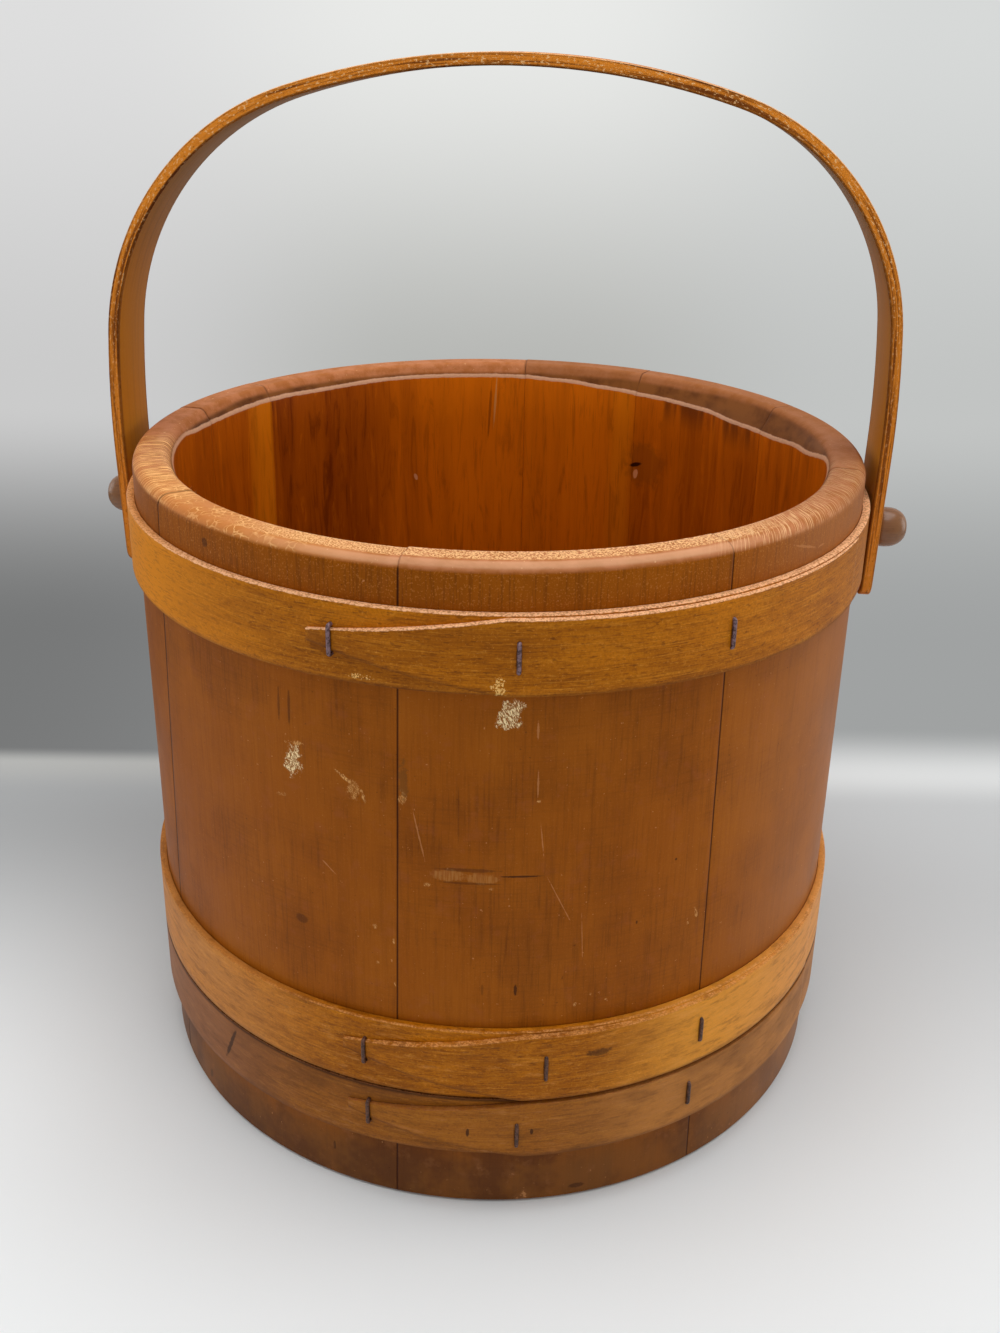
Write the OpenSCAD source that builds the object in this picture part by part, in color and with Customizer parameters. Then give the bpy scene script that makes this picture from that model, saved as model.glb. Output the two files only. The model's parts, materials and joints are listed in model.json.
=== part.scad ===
// Sugar firkin: a staved wooden pail with lapped wooden hoops and a bentwood bail on two pegs.
// Millimetres. Z is up, the origin is on the floor below the axis, the hoop laps face -Y,
// and the bail's pegs lie along X.

/* [Body] */
// Height of the staves from the floor to the rim
body_height = 213; // [195:1:240]
// Outer diameter at the rim
rim_diameter = 233; // [226:1:241]
// Outer diameter at the floor
base_diameter = 241; // [234:1:248]
// Wall of the thinnest stave, measured at the rim
thin_stave = 11.5; // [11:0.5:12.5]
// How much thicker the thickest stave is
stave_spread = 3; // [0:0.5:4]
// Radius of the rim's outer rounding
rim_round = 3.3; // [1:0.1:4]
// Width of the rim between its outer edge and the turned bevel
rim_width = 10.5; // [8:0.1:10.9]
// Broken edge between the rim and the bevel
rim_break = 0.4; // [0.3:0.1:2]
// Bevel inside the lower stave ends
chime_bevel = 4; // [1:0.5:6]

/* [Bottom] */
// Height of the groove that holds the bottom, above the floor
croze_height = 12; // [8:1:20]
// Width of that groove
croze_width = 5; // [4:0.5:7]
// Wood left outside the groove
croze_wall = 8; // [6.5:0.5:8.5]
// Thickness of the bottom boards
bottom_thickness = 10; // [8:0.5:14]
// Width of the middle bottom board
middle_board_width = 84; // [60:1:110]

/* [Hoops] */
// Thickness of a hoop
hoop_thickness = 2.4; // [2.3:0.1:3]
// Gap between a hoop and the staves
hoop_gap = 0.1; // [0.05:0.05:0.2]
// Top of the upper hoop below the rim
upper_hoop_drop = 12.5; // [10:0.5:17]
// Width of the upper hoop
upper_hoop_width = 22; // [20:0.1:25]
// Bottom of the middle hoop above the floor
middle_hoop_height = 45; // [44.8:0.1:60]
// Width of the middle hoop
middle_hoop_width = 24.4; // [20:0.1:26]
// Bottom of the lower hoop above the floor
lower_hoop_height = 23; // [8:0.1:23.2]
// Width of the lower hoop
lower_hoop_width = 21.5; // [18:0.1:21.7]
// Thickness of the outer end where it laps over the hoop
lap_thickness = 2; // [1:0.1:2.1]
// Width of the tongue at its tip
tongue_tip = 3; // [2:0.1:6]

/* [Staples] */
// Height of a staple
staple_height = 9.4; // [7:0.1:12]
// Side of the square staple wire
staple_wire = 1.2; // [0.8:0.1:1.6]
// How deep a staple's legs go into the staves
staple_bite = 5; // [3:0.5:6]

/* [Bail] */
// Height of the upper hoop's middle above the pivot
pivot_below_middle = 2; // [-3:0.1:4]
// Height of the crown's outer face above the pivot
bail_rise = 138.6; // [137:0.2:160]
// Width of the bail strip
strip_width = 24; // [15:0.5:26]
// Thickness of the bail strip
strip_thickness = 3.6; // [3:0.1:5]
// Mean gap between the upper hoop and the two arms of the bail
arm_gap = 1.6; // [1.5:0.1:4]
// How far the arms sit off centre towards the left
arms_left = 1.1; // [0:0.1:1.2]
// How far the crown leans off centre towards the right
crown_right = 2.2; // [0:0.1:4]
// Radius of the flat crown arc
crown_radius = 224.6; // [215:0.2:235]
// Half angle of the crown arc
crown_angle = 17; // [16:1:22]
// Radius of the slight curve between shoulder and arm
leg_radius = 352; // [300:2:420]
// Radius of the rounded corners at an arm's end
tail_corner = 5; // [2:0.5:7]
// Length of each arm below the pivot
arm_tail = 21; // [14:0.5:23]
// Swing of the bail from upright
bail_angle = 0; // [-112:1:112]

/* [Pegs] */
// Diameter of a peg's shank
peg_diameter = 8; // [6:0.5:9]
// Diameter of a peg's head
peg_head = 13; // [12:0.5:16]
// Mean length of neck between the bail and a peg's head
peg_neck = 2.7; // [1.5:0.1:5]
// Height of a peg's head
peg_head_height = 6.6; // [4:0.2:9]
// How far a shank stands out inside the wall
peg_inner_end = 2; // [1:0.5:4]
// Length of the wedge in a peg's split inner end
wedge_length = 9; // [6:0.5:12]
// Thickness of that wedge at its thick end
wedge_thickness = 2; // [1:0.1:3]

/* [Hidden] */
$fn = 96;
big = 400;
fit = 0.05;
bail_fit = 0.08;

rim_r = rim_diameter / 2;
base_r = base_diameter / 2;
slope = (base_r - rim_r) / body_height;
taper = atan(slope);
function wall_r(z) = base_r - slope * z;

// Each joint between staves: its angle at mid height and its lean in degrees
joints = [[28.4, 0], [63.8, 0], [89.6, 0], [150.1, 0], [170.1, 0],
    [215.6, -4.6], [262, -0.8], [307.1, 0.6], [348.8, 0]];
// Each stave's share of the spread in thickness, in the same order
shares = [0.9, 0.5, 0.15, 0.6, 0, 0.3, 0.15, 0.5, 0.65];
function joint_angle(i) = joints[i % 9][0] + 360 * floor(i / 9);
function joint_lean(i) = joints[i % 9][1];
function stave_wall(i) = thin_stave + stave_spread * shares[i];

croze_r = wall_r(croze_height + croze_width / 2) - croze_wall;
thickest = thin_stave + stave_spread;
board_r = croze_r - fit;
// Where the raised field of the bottom clears the thickest stave
field_r = wall_r(croze_height) - thickest - 1;

// Each hoop: bottom, width, tip angle, tip height above the hoop's middle, staples as [angle, height]
hoops = [
    [body_height - upper_hoop_drop - upper_hoop_width, upper_hoop_width, -109.6, 0.9,
        [[-105.8, 0.6], [-82.3, 0.3], [-54.2, 0.4]]],
    [middle_hoop_height, middle_hoop_width, -106.3, 1.8,
        [[-102.7, 0.8], [-77.3, 0.1], [-53.6, 0.5]]],
    [lower_hoop_height, lower_hoop_width, -105.8, 1.9,
        [[-102.3, 0.9], [-81.1, -1.7], [-54.9, 0.1]]]];
tongue_span = 26;
lap_span = 67;
lap_crest = -89;
lap_end = 0.3;
lap_inset = 0.8;
edge = 0.5;
function hoop_mid(h) = hoops[h][0] + hoops[h][1] / 2;
// The lap is an arc whose centre is moved towards its crest, so that it thins to its end
lap_shift = (lap_thickness - lap_end) / (1 - cos(lap_span));
function lap_over(angle) = lap_shift * cos(angle - lap_crest) - lap_shift + lap_thickness;

pivot_height = hoop_mid(0) - pivot_below_middle;
arm_x = wall_r(pivot_height) + hoop_gap + hoop_thickness + arm_gap;
bore_r = peg_diameter / 2 + bail_fit;

// Half the bail's width over its arms, and on each side their distance from the crown's middle
bail_half = arm_x + strip_thickness;
function half_width(side) = bail_half - side * (arms_left + crown_right);

// The outline on each side: a crown arc, a shoulder arc and a slight arc into a straight arm
leg_arc = 6.5;
// The crown and the legs are a little slimmer than the arcs and arms that they run into
slimmer = 0.05;
run_in = 1.8;
turned = 90 - leg_arc;
function shoulder_radius(side) = (half_width(side) - crown_radius * sin(crown_angle)
    - leg_radius * (1 - sin(turned))) / (sin(turned) - sin(crown_angle));
function shoulder_x(side) = (crown_radius - shoulder_radius(side)) * sin(crown_angle);
function shoulder_z(side) = bail_rise - crown_radius
    + (crown_radius - shoulder_radius(side)) * cos(crown_angle);
function leg_x(side) = half_width(side) - leg_radius;
function leg_z(side) = shoulder_z(side) + (shoulder_radius(side) - leg_radius) * cos(turned);

head_x = bail_half + peg_neck;
peg_inner_x = wall_r(pivot_height) - thickest - peg_inner_end;

// The half of space on one side of the joint at an angle, which leans about its radial line
module beside(angle, lean, side) {
    rotate([0, 0, angle]) translate([0, 0, body_height / 2]) rotate([lean, 0, 0])
        translate([-big, side > 0 ? 0 : -big, -big]) cube([2 * big, big, 2 * big]);
}

// Section of a stave: rounded rim, turned bevel, inner wall, groove for the bottom, bevelled chime
module stave_section(wall) {
    crest_in = rim_r - rim_width;
    bevel = (wall - rim_width) / (1 + slope);
    inner_base = base_r - wall;
    round_x = wall_r(body_height - rim_round) - rim_round;
    difference() {
        polygon([[base_r - 1, 0], [base_r, 1], [rim_r, body_height],
            [crest_in + rim_break, body_height], [crest_in, body_height - rim_break * 0.75],
            [crest_in - bevel, body_height - rim_break * 0.75 - bevel],
            [inner_base - slope * chime_bevel, chime_bevel], [inner_base + chime_bevel, 0]]);
        translate([inner_base - 10, croze_height]) square([croze_r - inner_base + 10, croze_width]);
        translate([round_x, body_height - rim_round]) difference() {
            square(rim_round + 5);
            circle(rim_round);
        }
    }
}

module peg_holes(r) {
    translate([-big, 0, pivot_height]) rotate([0, 90, 0]) cylinder(r = r, h = 2 * big);
}

module stave(i) {
    start = joint_angle(i);
    end = joint_angle(i + 1);
    spare = 9;
    difference() {
        intersection() {
            rotate([0, 0, start - spare]) rotate_extrude(angle = end - start + 2 * spare)
                stave_section(stave_wall(i));
            beside(start, joint_lean(i), 1);
            beside(end, joint_lean(i + 1), -1);
        }
        for (axis = [0, 180, 360])
            if (axis > start - 3 && axis < end + 3) peg_holes(peg_diameter / 2 + fit);
        for (h = [0:2], s = [0:2]) {
            angle = hoops[h][4][s][0] + 360;
            if (angle > start - 3 && angle < end + 3) staple_legs(h, s, fit);
        }
    }
}

module bottom() {
    rotate_extrude() polygon([[0, croze_height + fit], [board_r, croze_height + fit],
        [board_r, croze_height + croze_width - fit], [field_r, croze_height + croze_width - fit],
        [field_r - bottom_thickness + croze_width, croze_height + bottom_thickness],
        [0, croze_height + bottom_thickness]]);
}

module bottom_board(from, to) {
    intersection() {
        bottom();
        translate([from, -big, 0]) cube([to - from, 2 * big, 100]);
    }
}

// Section of a band that follows the staves, from one depth to another outside them
module band_section(bottom, width, inside, outside) {
    top = bottom + width;
    polygon([[wall_r(bottom) + inside, bottom], [wall_r(bottom) + outside - edge, bottom],
        [wall_r(bottom + edge) + outside, bottom + edge],
        [wall_r(top - edge) + outside, top - edge],
        [wall_r(top) + outside - edge, top], [wall_r(top) + inside, top]]);
}

// The half of space below or above a slanting edge of the tongue
module tongue_edge(tip, tip_z, edge_z, side) {
    span = tongue_span * PI / 180 * wall_r(edge_z);
    rotate([0, 0, tip + tongue_span / 2]) translate([0, 0, (tip_z + edge_z) / 2])
        rotate([atan((edge_z - tip_z) / span), 0, 0])
            translate([-big, -big, side > 0 ? 0 : -big]) cube([2 * big, 2 * big, big]);
}

// The outer end: full width where it lies over the hoop, cut down to a tongue at its tip
module hoop_lap(h) {
    bottom = hoops[h][0] + lap_inset;
    width = hoops[h][1] - 2 * lap_inset;
    tip = hoops[h][2];
    tip_z = hoop_mid(h) + hoops[h][3];
    inside = hoop_gap + hoop_thickness - 0.4 - lap_shift;
    intersection() {
        translate([lap_shift * cos(lap_crest), lap_shift * sin(lap_crest), 0])
            rotate([0, 0, tip - 5]) rotate_extrude(angle = lap_crest + lap_span - tip + 10)
                band_section(bottom, width, inside,
                    hoop_gap + hoop_thickness + lap_thickness - lap_shift);
        beside(tip, 0, 1);
        beside(lap_crest + lap_span, 0, -1);
        tongue_edge(tip, tip_z + tongue_tip / 2, bottom + width, -1);
        tongue_edge(tip, tip_z - tongue_tip / 2, bottom, 1);
    }
}

module hoop(h) {
    color("peru") difference() {
        union() {
            rotate_extrude() band_section(hoops[h][0], hoops[h][1], hoop_gap,
                hoop_gap + hoop_thickness);
            hoop_lap(h);
        }
        if (h == 0) peg_holes(peg_diameter / 2 + fit);
        for (s = [0:2]) staple_legs(h, s, fit);
    }
}

function staple_angle(h, s) = hoops[h][4][s][0];
function staple_z(h, s) = hoop_mid(h) + hoops[h][4][s][1];
function staple_seat(h, s) = wall_r(staple_z(h, s)) + hoop_gap + hoop_thickness
    + max(0, lap_over(staple_angle(h, s))) + fit;

module at_staple(h, s) {
    rotate([0, 0, staple_angle(h, s)]) translate([staple_seat(h, s), 0, staple_z(h, s)])
        rotate([0, -taper, 0]) children();
}

// The two legs of a staple, or with a margin the holes that they sit in
module staple_legs(h, s, margin) {
    reach = staple_seat(h, s) - wall_r(staple_z(h, s)) + staple_bite;
    side = staple_wire + 2 * margin;
    at_staple(h, s) for (end = [-1, 1])
        translate([-reach - margin, -side / 2, end * (staple_height - staple_wire) / 2 - side / 2])
            cube([reach + margin * 20, side, side]);
}

module staples(h) {
    color("dimgray") for (s = [0:2]) {
        staple_legs(h, s, 0);
        at_staple(h, s) translate([0, -staple_wire / 2, -staple_height / 2])
            cube([staple_wire, staple_wire, staple_height]);
    }
}

// The notch in a peg's inner end, and the wedge that fills it
module wedge_shape() {
    rotate([90, 0, 0]) translate([0, 0, -big / 2]) linear_extrude(big)
        polygon([[peg_inner_x, -wedge_thickness / 2], [peg_inner_x + wedge_length, 0],
            [peg_inner_x, wedge_thickness / 2]]);
}

// The shank between its inner end and a radius, lying along X
module peg_rod(r) {
    translate([peg_inner_x, 0, 0]) rotate([0, 90, 0]) cylinder(r = r, h = head_x - peg_inner_x);
}

// A peg for the right side: shank and domed head turned from one profile, with a split inner end
module right_peg_at_axis() {
    dome = peg_head * 0.75;
    shank = head_x - peg_inner_x;
    difference() {
        translate([peg_inner_x, 0, 0]) rotate([0, 90, 0]) rotate_extrude() {
            square([peg_diameter / 2, shank + 1]);
            translate([0, shank]) intersection() {
                square([peg_head / 2, peg_head_height]);
                translate([0, peg_head_height - dome]) circle(dome);
            }
        }
        wedge_shape();
    }
}

module right_wedge_at_axis() {
    intersection() {
        wedge_shape();
        peg_rod(peg_diameter / 2 - fit);
    }
}

module at_right() {
    translate([0, 0, pivot_height]) children();
}

module at_left() {
    translate([0, 0, pivot_height]) mirror([1, 0, 0]) children();
}

// Section of the bail strip between an outer radius and its inner face, with broken edges
module strip_section(radius, slim = 0) {
    w = strip_width / 2 - slim;
    r = radius - slim;
    t = strip_thickness - 2 * slim;
    polygon([[r - t + edge, -w], [r - edge, -w], [r, -w + edge], [r, w - edge],
        [r - edge, w], [r - t + edge, w], [r - t, w - edge], [r - t, -w + edge]]);
}

// An arc of the strip; one that is slimmer runs on into its neighbours
module strip_arc(x, z, r, from, to, slim = 0) {
    spare = slim > 0 ? run_in / r * 180 / PI : 0;
    translate([x, 0, z]) rotate([90, 0, 0]) rotate([0, 0, from - spare])
        rotate_extrude(angle = to - from + 2 * spare, $fn = 180) strip_section(r, slim);
}

// The straight arm with its round-cornered tail, at a distance from the crown's middle
module bail_arm(half, top) {
    corner = tail_corner;
    w = strip_width / 2;
    intersection() {
        translate([0, 0, -arm_tail]) linear_extrude(arm_tail + top) strip_section(half);
        rotate([90, 0, 90]) translate([0, 0, half - strip_thickness - 1])
            linear_extrude(strip_thickness + 2) union() {
                translate([-w, -arm_tail + corner]) square([2 * w, arm_tail + top]);
                translate([-w + corner, -arm_tail]) square([2 * (w - corner), 2 * corner]);
                for (side = [-1, 1]) translate([side * (w - corner), -arm_tail + corner])
                    circle(corner);
            }
    }
}

module bail() {
    color("sienna") translate([0, 0, pivot_height]) rotate([bail_angle, 0, 0]) difference() {
        translate([crown_right, 0, 0]) {
            strip_arc(0, bail_rise - crown_radius, crown_radius, 90 - crown_angle, 90 + crown_angle,
                slimmer);
            for (side = [-1, 1]) mirror([side > 0 ? 0 : 1, 0, 0]) {
                strip_arc(shoulder_x(side), shoulder_z(side), shoulder_radius(side),
                    leg_arc, 90 - crown_angle);
                strip_arc(leg_x(side), leg_z(side), leg_radius, 0, leg_arc, slimmer);
                bail_arm(half_width(side), leg_z(side));
            }
        }
        translate([-big, 0, 0]) rotate([0, 90, 0]) cylinder(r = bore_r, h = 2 * big);
    }
}

module front_stave() { color("sienna") stave(6); }
module front_left_stave() { color("chocolate") stave(5); }
module left_stave() { color("sienna") stave(4); }
module back_left_stave() { color("peru") stave(3); }
module back_stave() { color("chocolate") stave(2); }
module back_narrow_stave() { color("peru") stave(1); }
module back_right_stave() { color("sienna") stave(0); }
module right_stave() { color("chocolate") stave(8); }
module front_right_stave() { color("peru") stave(7); }

module middle_bottom_board() {
    color("tan") bottom_board(-middle_board_width / 2, middle_board_width / 2);
}
module left_bottom_board() { color("burlywood") bottom_board(-big, -middle_board_width / 2); }
module right_bottom_board() { color("burlywood") bottom_board(middle_board_width / 2, big); }

module upper_hoop() { hoop(0); }
module middle_hoop() { hoop(1); }
module lower_hoop() { hoop(2); }
module upper_hoop_staples() { staples(0); }
module middle_hoop_staples() { staples(1); }
module lower_hoop_staples() { staples(2); }

module right_peg() { color("saddlebrown") at_right() right_peg_at_axis(); }
module left_peg() { color("saddlebrown") at_left() right_peg_at_axis(); }
module right_peg_wedge() { color("tan") at_right() right_wedge_at_axis(); }
module left_peg_wedge() { color("tan") at_left() right_wedge_at_axis(); }

front_stave();
front_left_stave();
left_stave();
back_left_stave();
back_stave();
back_narrow_stave();
back_right_stave();
right_stave();
front_right_stave();
middle_bottom_board();
left_bottom_board();
right_bottom_board();
upper_hoop();
middle_hoop();
lower_hoop();
upper_hoop_staples();
middle_hoop_staples();
lower_hoop_staples();
left_peg();
right_peg();
left_peg_wedge();
right_peg_wedge();
bail();
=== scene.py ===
"""A sugar firkin: a staved wooden pail with lapped hoops and a bentwood bail."""

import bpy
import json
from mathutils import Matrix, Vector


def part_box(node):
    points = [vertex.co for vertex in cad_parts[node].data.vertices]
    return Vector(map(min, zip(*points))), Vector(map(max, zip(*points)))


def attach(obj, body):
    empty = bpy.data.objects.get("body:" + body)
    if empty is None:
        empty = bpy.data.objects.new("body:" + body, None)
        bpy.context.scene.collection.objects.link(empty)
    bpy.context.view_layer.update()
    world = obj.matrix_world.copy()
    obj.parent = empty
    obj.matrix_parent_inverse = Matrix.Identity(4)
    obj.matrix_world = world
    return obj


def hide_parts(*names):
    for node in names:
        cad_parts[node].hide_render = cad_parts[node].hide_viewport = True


bl_info = {
    "name": "Sugar Firkin",
    "version": (1, 0, 0),
    "blender": (4, 5, 0),
    "location": "3D View > Sidebar > Firkin",
    "description": "Models a staved sugar firkin with lapped wooden hoops and a bentwood bail",
    "category": "Add Mesh",
}

import json
import math
import random

import bpy
from bpy.props import FloatProperty, FloatVectorProperty, PointerProperty
from mathutils import Matrix, Vector

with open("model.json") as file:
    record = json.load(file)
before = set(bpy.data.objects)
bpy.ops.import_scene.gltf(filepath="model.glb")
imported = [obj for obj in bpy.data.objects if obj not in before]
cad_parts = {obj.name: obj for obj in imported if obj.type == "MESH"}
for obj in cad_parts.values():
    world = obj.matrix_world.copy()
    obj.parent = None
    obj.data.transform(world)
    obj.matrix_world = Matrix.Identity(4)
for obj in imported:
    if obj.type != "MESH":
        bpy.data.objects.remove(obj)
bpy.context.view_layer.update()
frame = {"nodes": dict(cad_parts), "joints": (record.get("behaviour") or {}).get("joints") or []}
MM = 0.001

STAVE_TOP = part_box("front_stave")[1].z
BASE_RADIUS = -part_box("left_stave")[0].x
BAIL_LOW, BAIL_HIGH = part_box("bail")
BOARD_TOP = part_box("middle_bottom_board")[1].z
BOARD_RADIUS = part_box("middle_bottom_board")[1].y
PIVOT = frame["joints"][0]["pos_m"][2]


def tint(red, green, blue):
    """A colour written as it looks, 0 to 255, as the linear numbers that Blender wants."""
    return tuple(((c / 255 + 0.055) / 1.055) ** 2.4 if c > 10 else c / 3294.6 for c in (red, green, blue))


def size(name, description, millimetres):
    return FloatProperty(name=name, description=description, default=millimetres * MM, min=0, unit="LENGTH")


class FirkinSizes(bpy.types.PropertyGroup):
    """Sizes that a user would change."""

    rim_radius: size("Rim radius", "Outer radius at the rim", 116.5)
    rim_width: size("Rim width", "Width of the rounded rim", 10.1)
    rim_round: size("Rim rounding", "Radius of the rim's outer rounding", 3.4)
    rim_inner_round: size("Rim's inner rounding", "Radius of the rim's inner rounding", 2.6)
    joint_gap: size("Joint gap", "Half the gap between two staves", 0.03)
    broken_edge: size("Broken edge", "Softened edge of a stave", 0.12)
    hoop_thickness: size("Hoop thickness", "Thickness of a hoop", 2.4)
    lap_thickness: size("Lap thickness", "Thickness of a hoop's outer end", 1.95)
    staple_wire: size("Staple wire", "Radius of the staple wire", 0.6)
    staple_height: size("Staple height", "Height of a staple", 9.4)
    crown_radius: size("Crown radius", "Radius of the bail's crown", 224.6)
    crown_right: size("Crown's middle", "How far the crown's middle lies to the right", 2.2)
    leg_radius: size("Arm radius", "Radius of the slight curve above each arm", 352)
    strip_thickness: size("Strip thickness", "Thickness of the bail's strip", 3.6)
    peg_radius: size("Peg radius", "Radius of a peg's shank", 4)
    head_radius: size("Peg head radius", "Radius of a peg's head", 6.5)
    crown_angle: FloatProperty(name="Crown angle", description="Half angle of the bail's flat crown",
                               default=math.radians(17), unit="ROTATION")
    leg_angle: FloatProperty(name="Arm angle", description="Angle of the slight curve above each arm",
                             default=math.radians(6.5), unit="ROTATION")


def colour(name, description, value):
    return FloatVectorProperty(name=name, description=description, subtype="COLOR", size=3,
                               default=value, min=0, max=1)


class FirkinColours(bpy.types.PropertyGroup):
    """Colours of the woods, the iron and the floor."""

    stave: colour("Stave", "Varnished outside of the staves", tint(146, 76, 8))
    stave_dark: colour("Stave, dark", "Darker grain and lower ends of the staves", tint(108, 54, 8))
    stave_pale: colour("Stave, pale", "Paler patches of the staves", tint(166, 94, 18))
    inside: colour("Inside", "Varnished inside of the staves", tint(206, 102, 4))
    inside_dark: colour("Inside, dark", "Dark grain on the inside", tint(116, 42, 3))
    rim: colour("Rim", "Worn top of the rim", tint(184, 116, 74))
    rim_pale: colour("Rim, pale", "Scratched and bare spots of the rim", tint(226, 180, 130))
    hoop: colour("Hoop", "Varnished hoops", tint(190, 112, 9))
    hoop_dark: colour("Hoop, dark", "Dark flecks in the hoops", tint(132, 70, 8))
    hoop_edge: colour("Hoop edge", "Worn edges of the hoops", tint(240, 184, 136))
    bail: colour("Bail", "Varnished bail", tint(192, 108, 26))
    bail_dark: colour("Bail, dark", "Dark grain of the bail", tint(122, 64, 20))
    peg: colour("Peg", "Rubbed dark pegs", tint(126, 82, 44))
    bare: colour("Bare wood", "Chips and the unvarnished bottom", tint(255, 230, 178))
    iron: colour("Iron", "Staples", tint(126, 100, 106))
    floor: colour("Floor", "Pale floor", tint(238, 241, 242))


class FirkinStage(bpy.types.PropertyGroup):
    """Where the camera stands and how strong the lamps are."""

    camera_distance: FloatProperty(name="Distance", description="From the pail's axis to the camera, level",
                                   default=0.40989, unit="LENGTH")
    camera_height: FloatProperty(name="Height", description="Height of the camera above the floor",
                                 default=0.32711, unit="LENGTH")
    camera_turn: FloatProperty(name="Turn", description="Angle of the camera round the pail from the front",
                               default=math.radians(4.98), unit="ROTATION")
    camera_pitch: FloatProperty(name="Pitch", description="How far the camera looks down",
                                default=0.4505, unit="ROTATION")
    camera_pan: FloatProperty(name="Pan", description="How far the camera looks right of the axis",
                              default=0.0035, unit="ROTATION")
    camera_roll: FloatProperty(name="Roll", description="How far the camera leans to its left",
                               default=0.0181, unit="ROTATION")
    lens: FloatProperty(name="Lens", description="Focal length for a frame 36 mm high",
                        default=34.59, unit="CAMERA")
    lamp: FloatProperty(name="Top lamp", description="Power of the soft lamp overhead", default=8.0, unit="POWER")
    backdrop: FloatVectorProperty(name="Backdrop", description="Colour seen beyond the floor", subtype="COLOR",
                                  default=tint(233, 234, 232), min=0, max=1)
    sky: FloatProperty(name="Room light", description="Strength of the even light of the room", default=0.5)


def sizes():
    return bpy.context.scene.firkin_sizes


def colours():
    return bpy.context.scene.firkin_colours


# Joints between the staves: angle in degrees and lean
JOINTS = [(28.4, 0), (63.8, 0), (89.6, 0), (150.1, 0), (170.1, 0), (215.6, -4.6), (262, -0.8), (307.1, 0.6), (348.8, 0)]
# Staves, each after its joint: name, tone, how far its top lies below the rim in mm
STAVES = [("back_right_stave", 0.35, 0.1), ("back_narrow_stave", 0.95, 0.0), ("back_stave", 0.5, 0.15),
          ("back_left_stave", 1.0, 0.05), ("left_stave", 0.5, 0.2), ("front_left_stave", 0.62, 0.4),
          ("front_stave", 0.4, 0.0), ("front_right_stave", 0.7, 0.15), ("right_stave", 0.55, 0.1)]
PALE_STAVES = ("back_left_stave", "back_narrow_stave")
# The lip where the bevel inside the rim meets the inner wall: angle in degrees and depth in mm
LIP = [(-4, 2.6), (12, 6.7), (26, 8.6), (37, 8.8), (47, 7.7), (60, 7.2), (72, 6.5), (80, 5.5), (94, 4.6), (117, 4.4),
       (137, 5.1), (147, 4.7), (167, 5.0), (175, 4.5), (183, 3.2), (215, 4.6), (262, 5.2), (307, 4.8), (340, 3.6),
       (356, 2.6)]
# Depth down to which the inner rounding of the rim keeps the rim's colour, above the dark part of the bevel
RIM_REACH = [(-4, 1.5), (30, 1.5), (42, 1.9), (52, 2.6), (66, 2.7), (76, 3.3), (100, 3.4), (117, 3.0), (136, 2.6),
         (157, 2.0), (167, 2.8), (190, 2.4), (356, 1.5)]
# Hoops: name, bottom, top, tongue's tip angle and height, staples as (angle, height)
HOOPS = [("upper_hoop", 178.5, 200.5, -109.6, 190.4, [(-105.8, 190.1), (-82.3, 189.8), (-54.2, 189.9)]),
         ("middle_hoop", 45.0, 69.4, -106.3, 59.0, [(-102.7, 58.0), (-77.3, 57.3), (-53.6, 57.7)]),
         ("lower_hoop", 23.0, 44.5, -105.8, 35.65, [(-102.3, 34.65), (-81.1, 32.05), (-54.9, 33.85)])]
TONGUE_SPAN = 26
LAP_SPAN = 67
LAP_CREST = -89
LAP_END = 0.3 * MM
CROZE_LOW, CROZE_HIGH = 12 * MM, 17 * MM
# The bevel's slope, where it would meet the rim's top, and the lip's depth that is drawn first
BEVEL_SLOPE = math.sqrt(3)
BEVEL_TOP = 106.4 * MM
DRAWN_LIP = 5 * MM


def wall_radius(z):
    """Outer radius of the staves at a height."""
    return BASE_RADIUS - (BASE_RADIUS - sizes().rim_radius) * z / STAVE_TOP


def read_table(table, angle):
    """A smooth value between the rows of a table of angles in degrees and values in mm."""
    angle = angle % 360 if angle % 360 < 356 else angle % 360 - 360
    for (a, first), (b, last) in zip(table, table[1:]):
        if a <= angle <= b:
            t = (angle - a) / (b - a)
            return (first + (last - first) * t * t * (3 - 2 * t)) * MM
    return table[0][1] * MM


def bevel_radius(depth):
    return BEVEL_TOP - depth / BEVEL_SLOPE


# Modelling by hand: selection, drawing, turning, cutting and finishing


def clear_selection():
    if bpy.context.object and bpy.context.object.mode != "OBJECT":
        bpy.ops.object.mode_set(mode="OBJECT")
    bpy.ops.object.select_all(action="DESELECT")


def edit(piece, kind="VERT"):
    """Goes into edit mode on one piece with all of it selected."""
    clear_selection()
    bpy.context.view_layer.objects.active = piece
    piece.select_set(True)
    bpy.ops.object.mode_set(mode="EDIT")
    bpy.ops.mesh.select_mode(type=kind)
    bpy.ops.mesh.select_all(action="SELECT")


def leave_edit():
    bpy.ops.object.mode_set(mode="OBJECT")


def draw_line(name, points):
    """Draws a line in the XZ plane point by point, each as (radius, height)."""
    clear_selection()
    bpy.ops.mesh.primitive_plane_add(size=1 * MM)
    piece = bpy.context.object
    piece.name = piece.data.name = name
    edit(piece)
    bpy.ops.mesh.merge(type="CENTER")
    bpy.ops.transform.translate(value=(points[0][0], 0, points[0][1]))
    for a, b in zip(points, points[1:]):
        bpy.ops.mesh.extrude_vertices_move(TRANSFORM_OT_translate={"value": (b[0] - a[0], 0, b[1] - a[1])})
    leave_edit()
    return piece


def draw_section(name, points):
    """Draws a closed face in the XZ plane."""
    piece = draw_line(name, points)
    edit(piece)
    bpy.ops.mesh.edge_face_add()
    leave_edit()
    return piece


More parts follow.
